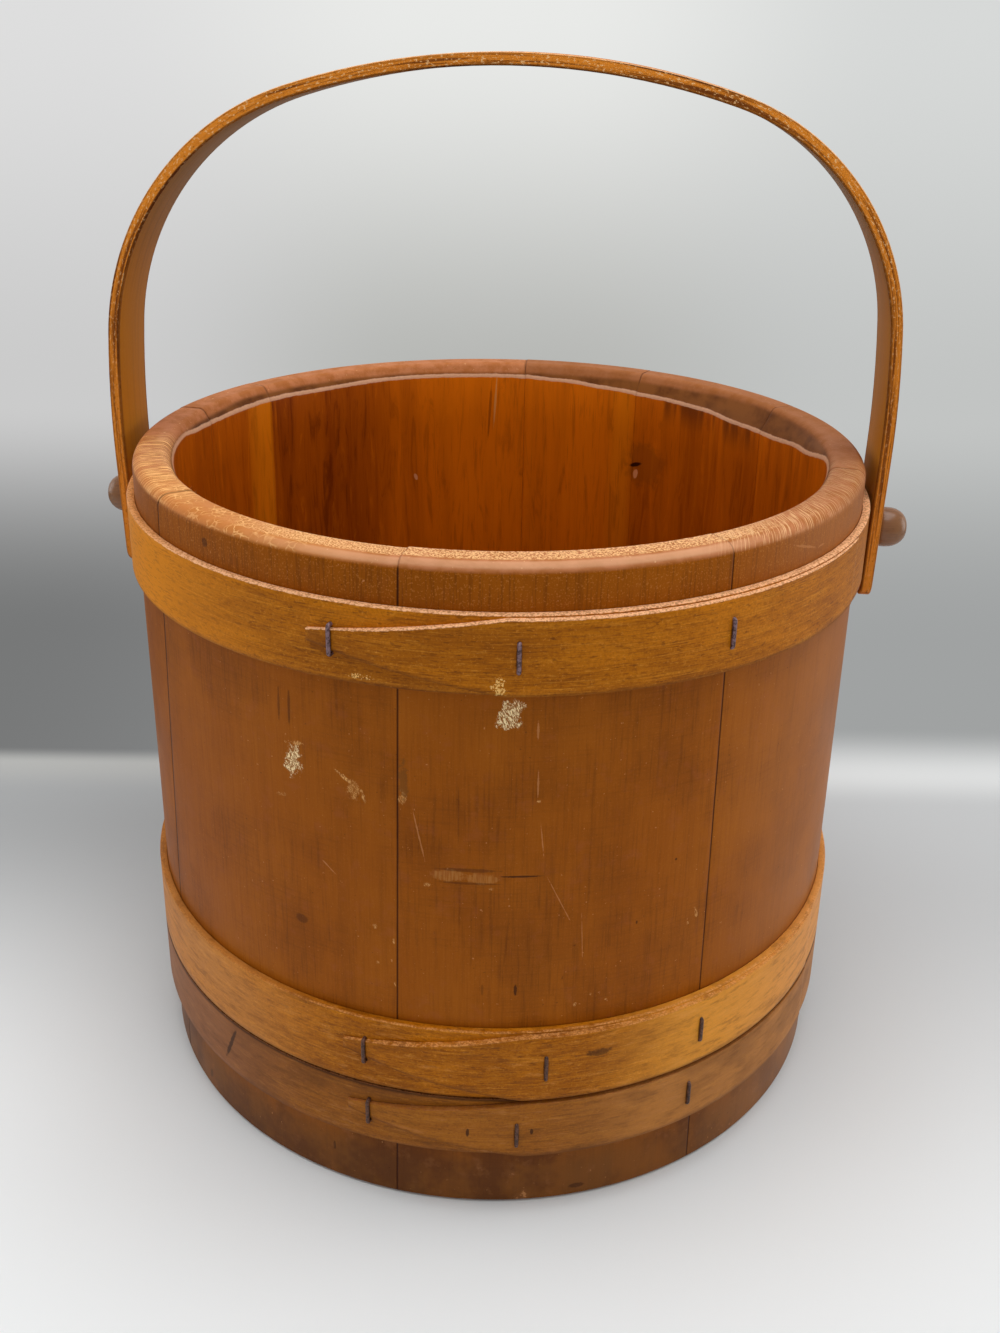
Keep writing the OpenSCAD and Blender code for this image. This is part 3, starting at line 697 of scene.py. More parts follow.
def hoop_finish(name):
    """Honey brown varnish with flecks along the hoop and a thin pale upper edge."""
    c = colours()
    f = Finish(name)
    angle, radius = f.round_axis(90)
    arc = angle * BASE_RADIUS
    over, under = f.read("over"), f.read("under")
    flecks = f.noise(f.vector(arc * 300, f.z * 1700, radius * 900), 1.0, 3, 0.62)
    streak = f.noise(f.vector(arc * 30, f.z * 520, radius * 240), 1.0, 4, 0.6, 0.4)
    cloud = f.noise(f.vector(arc * 22, f.z * 40, radius * 400), 1.0, 4, 0.6)
    dashes = f.noise(f.vector(arc * 420, f.z * 1300, radius * 700 + 3), 1.0, 2, 0.5)
    ragged = f.noise(f.place, 520, 4, 0.65)
    rough = f.noise(f.vector(arc * 110, f.z * 430, radius * 200), 1.0, 5, 0.7)
    hair = f.noise(f.vector(arc * 42, f.z * 2600, radius * 1200), 1.0, 3, 0.6)
    grit = f.noise(f.place, 1500, 2, 0.6)
    front = f.x.math("ARCTAN2", -f.y)
    facing = f.y.ramp(70 * MM, -30 * MM)

    def beyond(start, end):
        """1 beyond the end angle on the front, smooth from the start angle, 0 at the back."""
        return front.ramp(math.radians(start), math.radians(end)) * facing

    hue = f.mix(cloud.ramp(0.34, 0.68), c.hoop, blend(c.hoop, c.hoop_dark, 0.6))
    hue = f.mix(streak.ramp(0.5, 0.74) * 0.45, hue, c.hoop_dark)
    hue = f.mix(streak.ramp(0.46, 0.28) * 0.4, hue, tint(214, 138, 30))
    hue = f.mix(flecks.ramp(0.53, 0.65) * 0.6 * cloud.ramp(0.3, 0.52), hue, tint(116, 58, 8))
    hue = f.mix(dashes.ramp(0.61, 0.7) * 0.5, hue, tint(92, 44, 10))
    hue = f.mix(hair.ramp(0.52, 0.64) * 0.3, hue, tint(104, 52, 10))
    hue = f.mix(hair.ramp(0.42, 0.32) * 0.3, hue, tint(222, 150, 50))
    hue = f.mix(flecks.ramp(0.4, 0.28) * 0.35, hue, tint(224, 156, 56))
    hue = f.mix(grit.ramp(0.5, 0.62) * 0.3, hue, tint(122, 64, 8))
    hue = f.mix(grit.ramp(0.38, 0.3) * 0.3, hue, tint(222, 150, 60))
    if name == "Middle hoop":
        hue = f.mix(beyond(-14, -40) * (0.25 + 0.6 * cloud), hue, tint(208, 140, 72))
        # Painted reflection: the right side paler and brighter gold, where a lamp's soft sheen falls
        hue = f.mix(beyond(16, 38) * 0.6, hue, tint(240, 164, 62))
        hue = f.mix(beyond(36, 66) * 0.4, hue, tint(206, 140, 90))
        hue = f.mix(rough.ramp(0.48, 0.66) * 0.4, hue, tint(110, 58, 20))
        hue = f.mix(rough.ramp(0.46, 0.3) * 0.25, hue, tint(232, 162, 84))
        stain = blot(f, front * BASE_RADIUS, -69.8, 60.9, 3.6, 1.3, 0, ragged, 0.8)
        hue = f.mix(stain * 0.65, hue, tint(60, 34, 14))
    if name == "Lower hoop":
        lean = (BASE_RADIUS - sizes().rim_radius) / STAVE_TOP
        ring = (radius + f.z * lean - BASE_RADIUS).ramp(2.9 * MM, 2.6 * MM)
        hue = f.mix(0.5, hue, tint(128, 80, 38))
        hue = f.mix(beyond(-18, -42) * 0.75, hue, tint(140, 90, 58))
        # Painted reflection: the right side paler, where a lamp's soft sheen falls
        hue = f.mix(beyond(10, 34) * 0.4, hue, tint(200, 138, 76))
        slash = blot(f, front * BASE_RADIUS, -128.3, 34.6, 0.8, 8.0, 24, ragged, 0.5)
        nails = either(blot(f, front * BASE_RADIUS, -87.9, 32.8, 0.5, 1.7, 0, ragged, 0.5),
                       blot(f, front * BASE_RADIUS, -79.0, 33.1, 0.5, 1.2, 0, ragged, 0.5))
        hue = f.mix(either(slash, nails) * 0.8, hue, tint(46, 24, 14))
        hue = f.mix(rough.ramp(0.48, 0.68) * 0.3, hue, tint(70, 38, 16))
        hue = f.mix(rough.ramp(0.46, 0.32) * 0.3, hue, tint(188, 126, 72))
        hue = f.mix(cloud.ramp(0.5, 0.64) * 0.3, hue, tint(84, 48, 22))
        # Painted shadow of the middle hoop along the top edge of the lower hoop
        hue = f.mix(over.ramp(1.5 * MM, 0.5 * MM) * ring * 0.75, hue, tint(52, 26, 12))
        line = blot(f, front * BASE_RADIUS, -87.3, 25.8, 5.5, 0.4, 0, ragged, 0.6)
        hue = f.mix(line * 0.7, hue, tint(214, 150, 92))
    if name == "Upper hoop":
        flecked = either(blot(f, front * BASE_RADIUS, -84.6, 181.6, 1.6, 2.6, 0, ragged, 1.4),
                         blot(f, front * BASE_RADIUS, -101.9, 180.6, 3.0, 0.8, 0, ragged, 1.4))
        hue = f.mix(flecked * grit.ramp(0.5, 0.56), hue, tint(240, 190, 110))
        hue = f.mix(beyond(-20, -56) * (0.5 + 0.5 * cloud), hue, tint(232, 142, 8))
        hue = f.mix(beyond(-20, -56) * flecks.ramp(0.52, 0.64) * 0.35, hue, tint(132, 70, 10))
        tip = blot(f, front * BASE_RADIUS, -107.6, 189.0, 3.6, 3.2, 0, ragged, 0.8)
        hue = f.mix(tip * 0.45, hue, tint(112, 58, 12))
    # Painted shadow round each staple on the hoop
    for angle, height in next(row[5] for row in HOOPS if row[0] == name.lower().replace(" ", "_")):
        hue = f.mix(blot(f, front * BASE_RADIUS, angle, height, 0.8, 4.9, 0, ragged, 0.2) * 0.5, hue, tint(36, 18, 8))
    shade = under.ramp(1.3 * MM, 0.1 * MM)
    hue = f.mix(shade * 0.45, hue, tint(84, 42, 12))
    rub = (over + (ragged - 0.5) * 0.7 * MM).ramp(0.32 * MM, 0.12 * MM)
    worn = 1 - 0.6 * beyond(-30, -62)
    pale = c.hoop_edge
    if name == "Middle hoop":
        worn = ragged.ramp(0.36, 0.6) * (0.2 + 0.5 * front.ramp(math.radians(-34), math.radians(-14)))
        pale = tint(224, 158, 92)
        rub = rub * radius.ramp(wall_radius(HOOPS[1][2] * MM) + 1.3 * MM, wall_radius(HOOPS[1][2] * MM) + 2.1 * MM)
    if name == "Lower hoop":
        worn, pale = ragged.ramp(0.45, 0.65) * 0.4, tint(170, 112, 64)
    hue = f.mix(rub * grit.ramp(0.42, 0.62) * (0.3 if name == "Middle hoop" else 0.6), hue, tint(148, 86, 46))
    hue = f.mix(rub * worn * (0.35 + 0.85 * grit.ramp(0.58, 0.44)), hue, pale)
    f.set(Base_Color=hue, Roughness=0.4 + cloud * 0.14, Specular_IOR_Level=0.08)
    f.bump(flecks * 0.6 + streak * 0.5, 0.1 * MM, 0.6)
    return f.material


def bail_finish():
    """Varnished strip with grain along it, dark borders and a pale worn upper edge."""
    c = colours()
    f = Finish("Bail wood")
    run, depth = f.read("run"), f.read("depth")
    edge = BAIL_HIGH.y - abs(f.y)
    streak = f.noise(f.vector(run * 20, f.y * 620, depth * 900), 1.0, 4, 0.62, 0.3)
    fibre = f.noise(f.vector(run * 90, f.y * 2600, depth * 3400), 1.0, 2, 0.6)
    specks = f.noise(f.vector(run * 700, f.y * 1500, depth * 1500), 1.0, 3, 0.65)
    cloud = f.noise(f.place, 26, 4, 0.6)
    thick = sizes().strip_thickness
    hue = f.mix(streak.ramp(0.42, 0.7), c.bail, c.bail_dark)
    hue = f.mix(streak.ramp(0.44, 0.3) * 0.5, hue, tint(190, 110, 30))
    hue = f.mix(fibre.ramp(0.52, 0.68) * 0.35, hue, c.bail_dark)
    hue = f.mix(cloud.ramp(0.5, 0.7) * 0.35, hue, tint(166, 90, 26))
    rim = edge.ramp(1.6 * MM, 0.4 * MM)
    # The narrow edge is a brighter orange with grain; towards the crown it is painted paler still, a painted highlight
    # of the light from above, which also gathers the pale specks there
    crown_highlight = f.z.ramp(PIVOT + 10 * MM, PIVOT + 120 * MM)
    hue = f.mix(rim * (1 - streak.ramp(0.45, 0.65)) * (0.6 + 0.25 * crown_highlight), hue, tint(232, 142, 46))
    hue = f.mix(streak.ramp(0.5, 0.6) * rim * 0.45, hue, tint(110, 56, 18))
    hue = f.mix(specks.ramp(0.55, 0.63) * (0.15 + 0.8 * rim * crown_highlight), hue, tint(246, 194, 132))
    hue = f.mix(specks.ramp(0.42, 0.34) * 0.5 * rim, hue, tint(96, 48, 14))
    border = either(depth.ramp(0.75 * MM, 0.4 * MM) * 0.6, depth.ramp(thick - 0.8 * MM, thick - 0.4 * MM))
    hue = f.mix(rim * border * 0.7, hue, tint(70, 36, 14))
    lower = f.z.ramp(PIVOT + 125 * MM, PIVOT + 60 * MM)
    inner = depth.ramp(thick - 0.5 * MM, thick - 0.15 * MM) * (1 - rim)
    high = f.z.ramp(PIVOT + 60 * MM, PIVOT + 110 * MM)
    hue = f.mix(inner * lower * 0.85, hue, tint(188, 120, 30))
    # Painted shade with a painted grey reflection of the floor on the underside at the shoulders
    hue = f.mix(inner * high * (0.6 + 0.3 * cloud), hue, tint(138, 104, 56))
    rubbed = depth.ramp(0.3 * MM, 0.1 * MM) * f.z.ramp(PIVOT + 40 * MM, PIVOT + 110 * MM)
    hue = f.mix(rubbed * (0.4 + 0.6 * specks) * edge.ramp(3 * MM, 0.5 * MM), hue, tint(240, 186, 134))
    f.set(Base_Color=hue, Roughness=0.44 + cloud * 0.1, Specular_IOR_Level=0.05)
    f.bump(streak * 0.6 + fibre * 0.5 + specks * 0.2, 0.1 * MM, 0.6)
    return f.material


def peg_finish():
    c = colours()
    f = Finish("Peg wood")
    grain = f.noise(f.vector(f.x * 120, f.y * 1300, f.z * 1300), 1.0, 3, 0.6)
    hue = f.mix(grain.ramp(0.45, 0.8) * 0.6, c.peg, tint(92, 56, 30))
    hue = f.mix(abs(f.x).ramp(108 * MM, 104 * MM), hue, blend(c.inside, c.inside_dark, 0.5))
    f.set(Base_Color=hue, Roughness=0.27, Specular_IOR_Level=0.4)
    f.bump(grain, 0.03 * MM, 0.3)
    return f.material


def iron_finish(name, rusty):
    """Dark wire, more or less rusty, from 0 to 1."""
    c = colours()
    f = Finish(name)
    rust = f.noise(f.place, 1100, 3, 0.6)
    hue = f.mix(rust.ramp(0.42, 0.6), blend(c.iron, tint(96, 60, 44), rusty), blend(tint(66, 42, 42), tint(50, 28, 18), rusty))
    f.set(Base_Color=hue, Roughness=0.34 + rust * 0.2, Metallic=0.35)
    return f.material


def board_finish():
    """Bare boards gone brown, with grain along them and dark joints between them."""
    f = Finish("Bottom boards")
    grain = f.noise(f.vector(f.x * 380, f.y * 9, f.z * 300), 1.0, 4, 0.6, 0.5)
    broad = f.noise(f.vector(f.x * 60, f.y * 4, f.z * 60), 1.0, 3, 0.5, 0.8)
    stain = f.noise(f.place, 24, 4, 0.6)
    hue = f.mix(broad.ramp(0.4, 0.65), tint(150, 90, 40), tint(112, 62, 26))
    hue = f.mix(grain.ramp(0.5, 0.75) * 0.6, hue, tint(80, 42, 18))
    hue = f.mix(stain.ramp(0.45, 0.7) * 0.5, hue, tint(92, 56, 30))
    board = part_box("middle_bottom_board")[1].x
    seam = abs(abs(f.x) - board).ramp(0.7 * MM, 0.15 * MM)
    hue = f.mix(seam * 0.8, hue, tint(34, 18, 8))
    f.set(Base_Color=hue, Roughness=0.6, Specular_IOR_Level=0.2)
    f.bump(grain * 0.6 - seam, 0.15 * MM, 0.6)
    return f.material


def wedge_finish():
    f = Finish("Wedge wood")
    grain = f.noise(f.vector(f.x * 200, f.y * 900, f.z * 900), 1.0, 3, 0.6)
    f.set(Base_Color=f.mix(grain.ramp(0.4, 0.7), tint(176, 96, 20), tint(124, 62, 12)), Roughness=0.6)
    return f.material


def repaint(node, material):
    """Gives a CAD node that is kept a better material."""
    piece = frame["nodes"][node]
    for i in range(len(piece.material_slots)):
        piece.material_slots[i].material = material


# Operators


def stave_points(drop):
    """Section of a stave from its lower outer edge round the rim and down the inside."""
    s = sizes()
    top = STAVE_TOP - drop
    points = [(BASE_RADIUS - 1 * MM, 0), (BASE_RADIUS, 1 * MM)]
    points += [(wall_radius(z * MM), z * MM) for z in (18, 45, 75, 105, 135, 165, 190, 204)]
    outer, inner = s.rim_round, s.rim_inner_round
    middle = wall_radius(top - outer) - outer
    for degrees in range(0, 91, 15):
        a = math.radians(degrees)
        points.append((middle + outer * math.cos(a), top - outer + outer * math.sin(a)))
    # The inner rounding ends on the bevel, whose slope it meets at 150 degrees
    middle = bevel_radius(inner / 2) + inner * math.sqrt(0.75)
    for degrees in range(90, 151, 15):
        a = math.radians(degrees)
        points.append((middle + inner * math.cos(a), top - inner + inner * math.sin(a)))
    # The bevel and the wall are drawn for one depth of the lip and moved by shape_bevel
    points += [(bevel_radius(z * MM), top - z * MM) for z in (2.8, 4.4)]
    wall = bevel_radius(DRAWN_LIP)
    lean = (BASE_RADIUS - s.rim_radius) / STAVE_TOP
    points.append((wall, top - DRAWN_LIP - 0.6 * MM))
    points += [(wall + lean * (STAVE_TOP - z * MM), z * MM) for z in (190, 160, 120, 80, 45, 22, CROZE_HIGH / MM)]
    points += [(BOARD_RADIUS + 0.05 * MM, CROZE_HIGH), (BOARD_RADIUS + 0.05 * MM, CROZE_LOW)]
    points += [(wall + lean * (STAVE_TOP - z * MM), z * MM) for z in (CROZE_LOW / MM, 4)]
    points += [(wall + lean * STAVE_TOP + 4 * MM, 0)]
    return points


def shape_bevel(piece, drop):
    """Moves the bevel inside the rim and the inner wall to the lip's depth at each angle."""
    s = sizes()
    top = STAVE_TOP - drop
    lean = (BASE_RADIUS - s.rim_radius) / STAVE_TOP
    bend = s.rim_inner_round / 2
    for vertex in piece.data.vertices:
        x, y, z = vertex.co
        radius = math.hypot(x, y)
        depth = top - z
        lip = read_table(LIP, math.degrees(math.atan2(y, x)))
        wall = bevel_radius(DRAWN_LIP) + lean * max(0.0, STAVE_TOP - z)
        target = radius
        if bend + 0.05 * MM < depth < 4.5 * MM and radius < BEVEL_TOP:
            depth = bend + (depth - bend) * (lip - 0.6 * MM - bend) / (4.4 * MM - bend)
            target = bevel_radius(depth)
        elif depth > DRAWN_LIP and z > CROZE_LOW - 1 * MM and radius < wall + 1 * MM:
            target = radius + bevel_radius(lip) - bevel_radius(DRAWN_LIP)
            if depth < DRAWN_LIP + 1 * MM:
                depth += lip - DRAWN_LIP
        vertex.co = (x * target / radius, y * target / radius, top - depth)


def joint_plane(i, side):
    """A point and a normal of the plane between two staves; side is 1 for the stave after it."""
    at, lean = JOINTS[i % 9]
    turned = Matrix.Rotation(math.radians(at), 3, "Z") @ Matrix.Rotation(math.radians(lean), 3, "X")
    normal = turned @ Vector((0, 1, 0))
    point = Vector((0, 0, STAVE_TOP / 2)) + normal * sizes().joint_gap * side
    return point, normal


class FIRKIN_OT_staves(bpy.types.Operator):
    """Turns the nine staves, cuts their leaning joints and shapes the bevel inside the rim"""

    bl_idname = "firkin.staves"
    bl_label = "Staves"

    def execute(self, context):
        material = stave_finish("Stave wood")
        for i, (name, tone, drop) in enumerate(STAVES):
            start = JOINTS[i][0]
            end = JOINTS[(i + 1) % 9][0] + (360 if i == 8 else 0)
            spare = 9
            piece = draw_section("visual_" + name, stave_points(drop * MM))
            span = end - start + 2 * spare
            turn(piece, span, round(span), start=start - spare)
            first, across = joint_plane(i, 1)
            cut(piece, first, -across)
            last, along = joint_plane(i + 1, -1)
            cut(piece, last, along)
            shape_bevel(piece, drop * MM)
            soften(piece, sizes().broken_edge, 2, 40)
            top = STAVE_TOP - drop * MM

            def above(table, co):
                """Height of a point above a line inside the rim."""
                return co.z - top + read_table(table, math.degrees(math.atan2(co.y, co.x)))

            mark(piece, "tone", lambda co: tone)
            mark(piece, "joint", lambda co: min(abs((co - first).dot(across)), abs((co - last).dot(along))))
            mark(piece, "fall", lambda co: above(LIP, co))
            mark(piece, "clean", lambda co: above(RIM_REACH, co))
            slot = "pale_stave" if name in PALE_STAVES else "stave"
            hand_over(piece, material, "pail", slot, name, smooth=32)
        return {"FINISHED"}


def band_points(low, high, inside, outside, rows):
    """Section of a band that follows the staves between two heights."""
    outer = [low + (high - low) * i / rows for i in range(rows + 1)]
    return ([(wall_radius(low) + inside, low)] + [(wall_radius(z) + outside, z) for z in outer]
            + [(wall_radius(high) + inside, high)])


def tongue_plane(tip, tip_z, edge_z):
    """A point and an upward normal of the slanting cut along one edge of a tongue."""
    span = math.radians(TONGUE_SPAN) * wall_radius(edge_z)
    slope = math.atan2(edge_z - tip_z, span)
    turned = Matrix.Rotation(math.radians(tip + TONGUE_SPAN / 2), 3, "Z") @ Matrix.Rotation(slope, 3, "X")
    return Vector((0, 0, (tip_z + edge_z) / 2)), turned @ Vector((0, 0, 1))


def tip_share(angle, tip):
    """How thick the tongue still is near its tip, as a share of the lap."""
    t = min(1.0, max(0.0, (angle - tip) / 12))
    return 0.5 + 0.5 * t * t * (3 - 2 * t)


def lap_shift():
    """How far the lap's centre is moved towards its crest, so that it thins to its end."""
    return (sizes().lap_thickness - LAP_END) / (1 - math.cos(math.radians(LAP_SPAN)))


class FIRKIN_OT_hoops(bpy.types.Operator):
    """Turns the three hoops and cuts the tongue at the outer end of each"""

    bl_idname = "firkin.hoops"
    bl_label = "Hoops"

    def execute(self, context):
        s = sizes()
        gap = 0.1 * MM
        shift = lap_shift()
        crest = math.radians(LAP_CREST)
        centre = (shift * math.cos(crest), shift * math.sin(crest), 0)
        for name, low, high, tip, tip_z, staples in HOOPS:
            low, high, tip_z = low * MM, high * MM, tip_z * MM
            outline = band_points(low, high, gap, gap + s.hoop_thickness, 8)
            ring = draw_line(name, outline + outline[:1])
            turn_round(ring, 240)
            point_outwards(ring)
            soften(ring, 0.3 * MM, 2, 60)
            low_lap, high_lap = low + 0.5 * MM, high - 0.6 * MM
            inside = gap + s.hoop_thickness - 0.4 * MM - shift
            lap = draw_section(name + "_lap", band_points(low_lap, high_lap, inside,
                                                          gap + s.hoop_thickness + s.lap_thickness - shift, 8))
            span = LAP_CREST + LAP_SPAN - tip
            turn(lap, span, round(span), centre=centre, start=tip)
            above, up = tongue_plane(tip, tip_z + 1.6 * MM, high_lap)
            below, down = tongue_plane(tip, tip_z - 1.6 * MM, low_lap)
            cut(lap, above, up)
            cut(lap, below, -down)
            for vertex in lap.data.vertices:
                x, y, z = vertex.co
                radius, seat = math.hypot(x, y), wall_radius(z) + gap + s.hoop_thickness
                if radius > seat:
                    target = seat + (radius - seat) * tip_share(math.degrees(math.atan2(y, x)), tip)
                    vertex.co = (x * target / radius, y * target / radius, z)
            soften(lap, 0.2 * MM, 2, 60)
            turned = math.radians(tip)

            def past_tip(co):
                return -co.x * math.sin(turned) + co.y * math.cos(turned)

            mark(ring, "over", lambda co: high - co.z)
            mark(ring, "under", lambda co: co.z - low)
            mark(lap, "over", lambda co: max(0.0, min(high_lap - co.z, (above - co).dot(up), past_tip(co))))
            mark(lap, "under", lambda co: max(0.0, min(co.z - low_lap, (co - below).dot(down))))
            hoop = join([ring, lap], "visual_" + name)
            hand_over(hoop, hoop_finish(name.replace("_", " ").capitalize()), "pail", "hoop", name)
        return {"FINISHED"}


class FIRKIN_OT_staples(bpy.types.Operator):
    """Bends one wire staple and drives copies of it through the hoops"""

    bl_idname = "firkin.staples"
    bl_label = "Staples"

    def execute(self, context):
        s = sizes()
        fresh, rusty = iron_finish("Staple iron", 0), iron_finish("Rusty staple iron", 1)
        bend = 0.75 * MM
        leg = 4 * MM
        half = s.staple_height / 2 - s.staple_wire
        clear_selection()
        bpy.ops.mesh.primitive_circle_add(vertices=10, radius=s.staple_wire, fill_type="NGON",
                                          location=(-leg, 0, -half), rotation=(0, math.pi / 2, 0))
        wire = bpy.context.object
        bpy.ops.object.transform_apply(location=True, rotation=True, scale=True)
        edit(wire, "FACE")
        bpy.ops.mesh.extrude_region_move(TRANSFORM_OT_translate={"value": (leg - bend, 0, 0)})
        bpy.ops.mesh.spin(steps=4, angle=math.pi / 2, center=(-bend, 0, -half + bend), axis=(0, 1, 0))
        bpy.ops.mesh.extrude_region_move(TRANSFORM_OT_translate={"value": (0, 0, 2 * (half - bend))})
        bpy.ops.mesh.spin(steps=4, angle=math.pi / 2, center=(-bend, 0, half - bend), axis=(0, 1, 0))
        bpy.ops.mesh.extrude_region_move(TRANSFORM_OT_translate={"value": (-(leg - bend), 0, 0)})
        leave_edit()
        tilt = -math.atan2(BASE_RADIUS - s.rim_radius, STAVE_TOP)
        for name, low, high, tip, tip_z, staples in HOOPS:
            copies = []
            for angle, height in staples:
                copy = wire.copy()
                copy.data = wire.data.copy()
                context.scene.collection.objects.link(copy)
                over = lap_shift() * (math.cos(math.radians(angle - LAP_CREST)) - 1) + s.lap_thickness
                over *= tip_share(angle, tip)
                seat = wall_radius(height * MM) + 0.1 * MM + s.hoop_thickness + max(0.0, over)
                place(copy, Matrix.Rotation(math.radians(angle), 4, "Z")
                      @ Matrix.Translation((seat + s.staple_wire * 0.75, 0, height * MM))
                      @ Matrix.Rotation(tilt, 4, "Y"))
                copies.append(copy)
            group = join(copies, "visual_" + name + "_staples")
            iron = fresh if name == "upper_hoop" else rusty
            hand_over(group, iron, "pail", "staple", name + "_staples", smooth=50)
        bpy.data.objects.remove(wire)
        return {"FINISHED"}


def bail_shape(side):
    """Centres and radii of the arcs on one side of the bail's outer face; side is 1 for the right one."""
    s = sizes()
    middle = s.crown_right
    half = BAIL_HIGH.x - middle if side > 0 else middle - BAIL_LOW.x
    rise = BAIL_HIGH.z - PIVOT
    a, b = s.crown_angle, math.pi / 2 - s.leg_angle
    crown, leg = s.crown_radius, s.leg_radius
    shoulder = (half - crown * math.sin(a) - leg * (1 - math.sin(b))) / (math.sin(b) - math.sin(a))
    crown_at = Vector((middle, 0, rise - crown))
    shoulder_at = crown_at + Vector((side * math.sin(a), 0, math.cos(a))) * (crown - shoulder)
    leg_at = shoulder_at + Vector((side * math.sin(b), 0, math.cos(b))) * (shoulder - leg)
    return (crown_at, crown), (shoulder_at, shoulder), (leg_at, leg)


def along_bail(co):
    """Length along the bail from its crown, and depth below its outer face, of a point on it."""
    s = sizes()
    side = 1 if co.x > s.crown_right else -1
    (crown_at, crown), (shoulder_at, shoulder), (leg_at, leg) = bail_shape(side)
    p = Vector((co.x, 0, co.z - PIVOT))
    a, b = s.crown_angle, math.pi / 2 - s.leg_angle
    before = crown * a + shoulder * (b - a)
    if p.z <= leg_at.z:
        outer = BAIL_HIGH.x - p.x if side > 0 else p.x - BAIL_LOW.x
        return side * (before + leg * s.leg_angle + leg_at.z - p.z), outer
    for centre, radius, low, high, start in ((crown_at, crown, 0, a, 0), (shoulder_at, shoulder, a, b, crown * a),
                                             (leg_at, leg, b, math.pi / 2 + 0.1, before)):
        d = p - centre
        t = math.atan2(side * d.x, d.z)
        if low - 1e-3 <= t <= high + 1e-3:
            return side * (start + radius * (t - low)), radius - d.length
    return 0.0, 0.0


class FIRKIN_OT_bail(bpy.types.Operator):
    """Bends the bail's strip from the right arm over the crown to the left arm"""

    bl_idname = "firkin.bail"
    bl_label = "Bail"

    def execute(self, context):
        s = sizes()
        thick = s.strip_thickness
        width = BAIL_HIGH.y * 2
        tail = PIVOT - BAIL_LOW.z
        right, left = bail_shape(1), bail_shape(-1)
        clear_selection()
        bpy.ops.mesh.primitive_cube_add(size=1, location=(BAIL_HIGH.x - thick / 2, 0, -tail + 5 * MM),
                                        scale=(thick, width, 10 * MM))
        strip = bpy.context.object
        bpy.ops.object.transform_apply(location=True, rotation=True, scale=True)
        edit(strip, "FACE")
        bpy.ops.mesh.select_all(action="DESELECT")
        leave_edit()
        for p in strip.data.polygons:
            p.select = p.normal.z > 0.9
        bpy.ops.object.mode_set(mode="EDIT")

        def rise_by(length):
            bpy.ops.mesh.extrude_region_move(TRANSFORM_OT_translate={"value": (0, 0, length)})

        def bend(arc, angle, steps):
            bpy.ops.mesh.spin(steps=steps, angle=angle, center=(arc[0].x, 0, arc[0].z), axis=(0, 1, 0))

        shoulder_angle = math.pi / 2 - s.leg_angle - s.crown_angle
        rise_by(right[2][0].z + tail - 10 * MM)
        bend(right[2], s.leg_angle, 6)
        bend(right[1], shoulder_angle, 30)
        bend(right[0], s.crown_angle * 2, 24)
        bend(left[1], shoulder_angle, 32)
        bend(left[2], s.leg_angle, 6)
        rise_by(-(left[2][0].z + tail))
        leave_edit()
        # Round the corners of both ends
        edit(strip, "EDGE")
        bpy.ops.mesh.select_all(action="DESELECT")
        leave_edit()
        for e in strip.data.edges:
            ends = [strip.data.vertices[i].co for i in e.vertices]
            e.select = all(v.z < -tail + 1 * MM for v in ends) and abs(ends[0].y - ends[1].y) < 0.01 * MM
        bpy.ops.object.mode_set(mode="EDIT")
        bpy.ops.mesh.bevel(offset=5 * MM, segments=6, affect="EDGES")
        leave_edit()
        place(strip, Matrix.Translation((0, 0, PIVOT)))
        clear_selection()
        bpy.ops.mesh.primitive_cylinder_add(vertices=32, radius=s.peg_radius + 0.08 * MM, depth=3 * BAIL_HIGH.x,
                                            location=(0, 0, PIVOT), rotation=(0, math.pi / 2, 0))
        drill = bpy.context.object
        apply_modifier(strip, "BOOLEAN", object=drill, operation="DIFFERENCE", solver="EXACT")
        bpy.data.objects.remove(drill)
        soften(strip, 0.5 * MM, 3, 40)
        strip.name = strip.data.name = "visual_bail"

        mark(strip, "run", lambda co: along_bail(co)[0])
        mark(strip, "depth", lambda co: along_bail(co)[1])
        hand_over(strip, bail_finish(), "bail_arch", "bail", "bail")
        return {"FINISHED"}


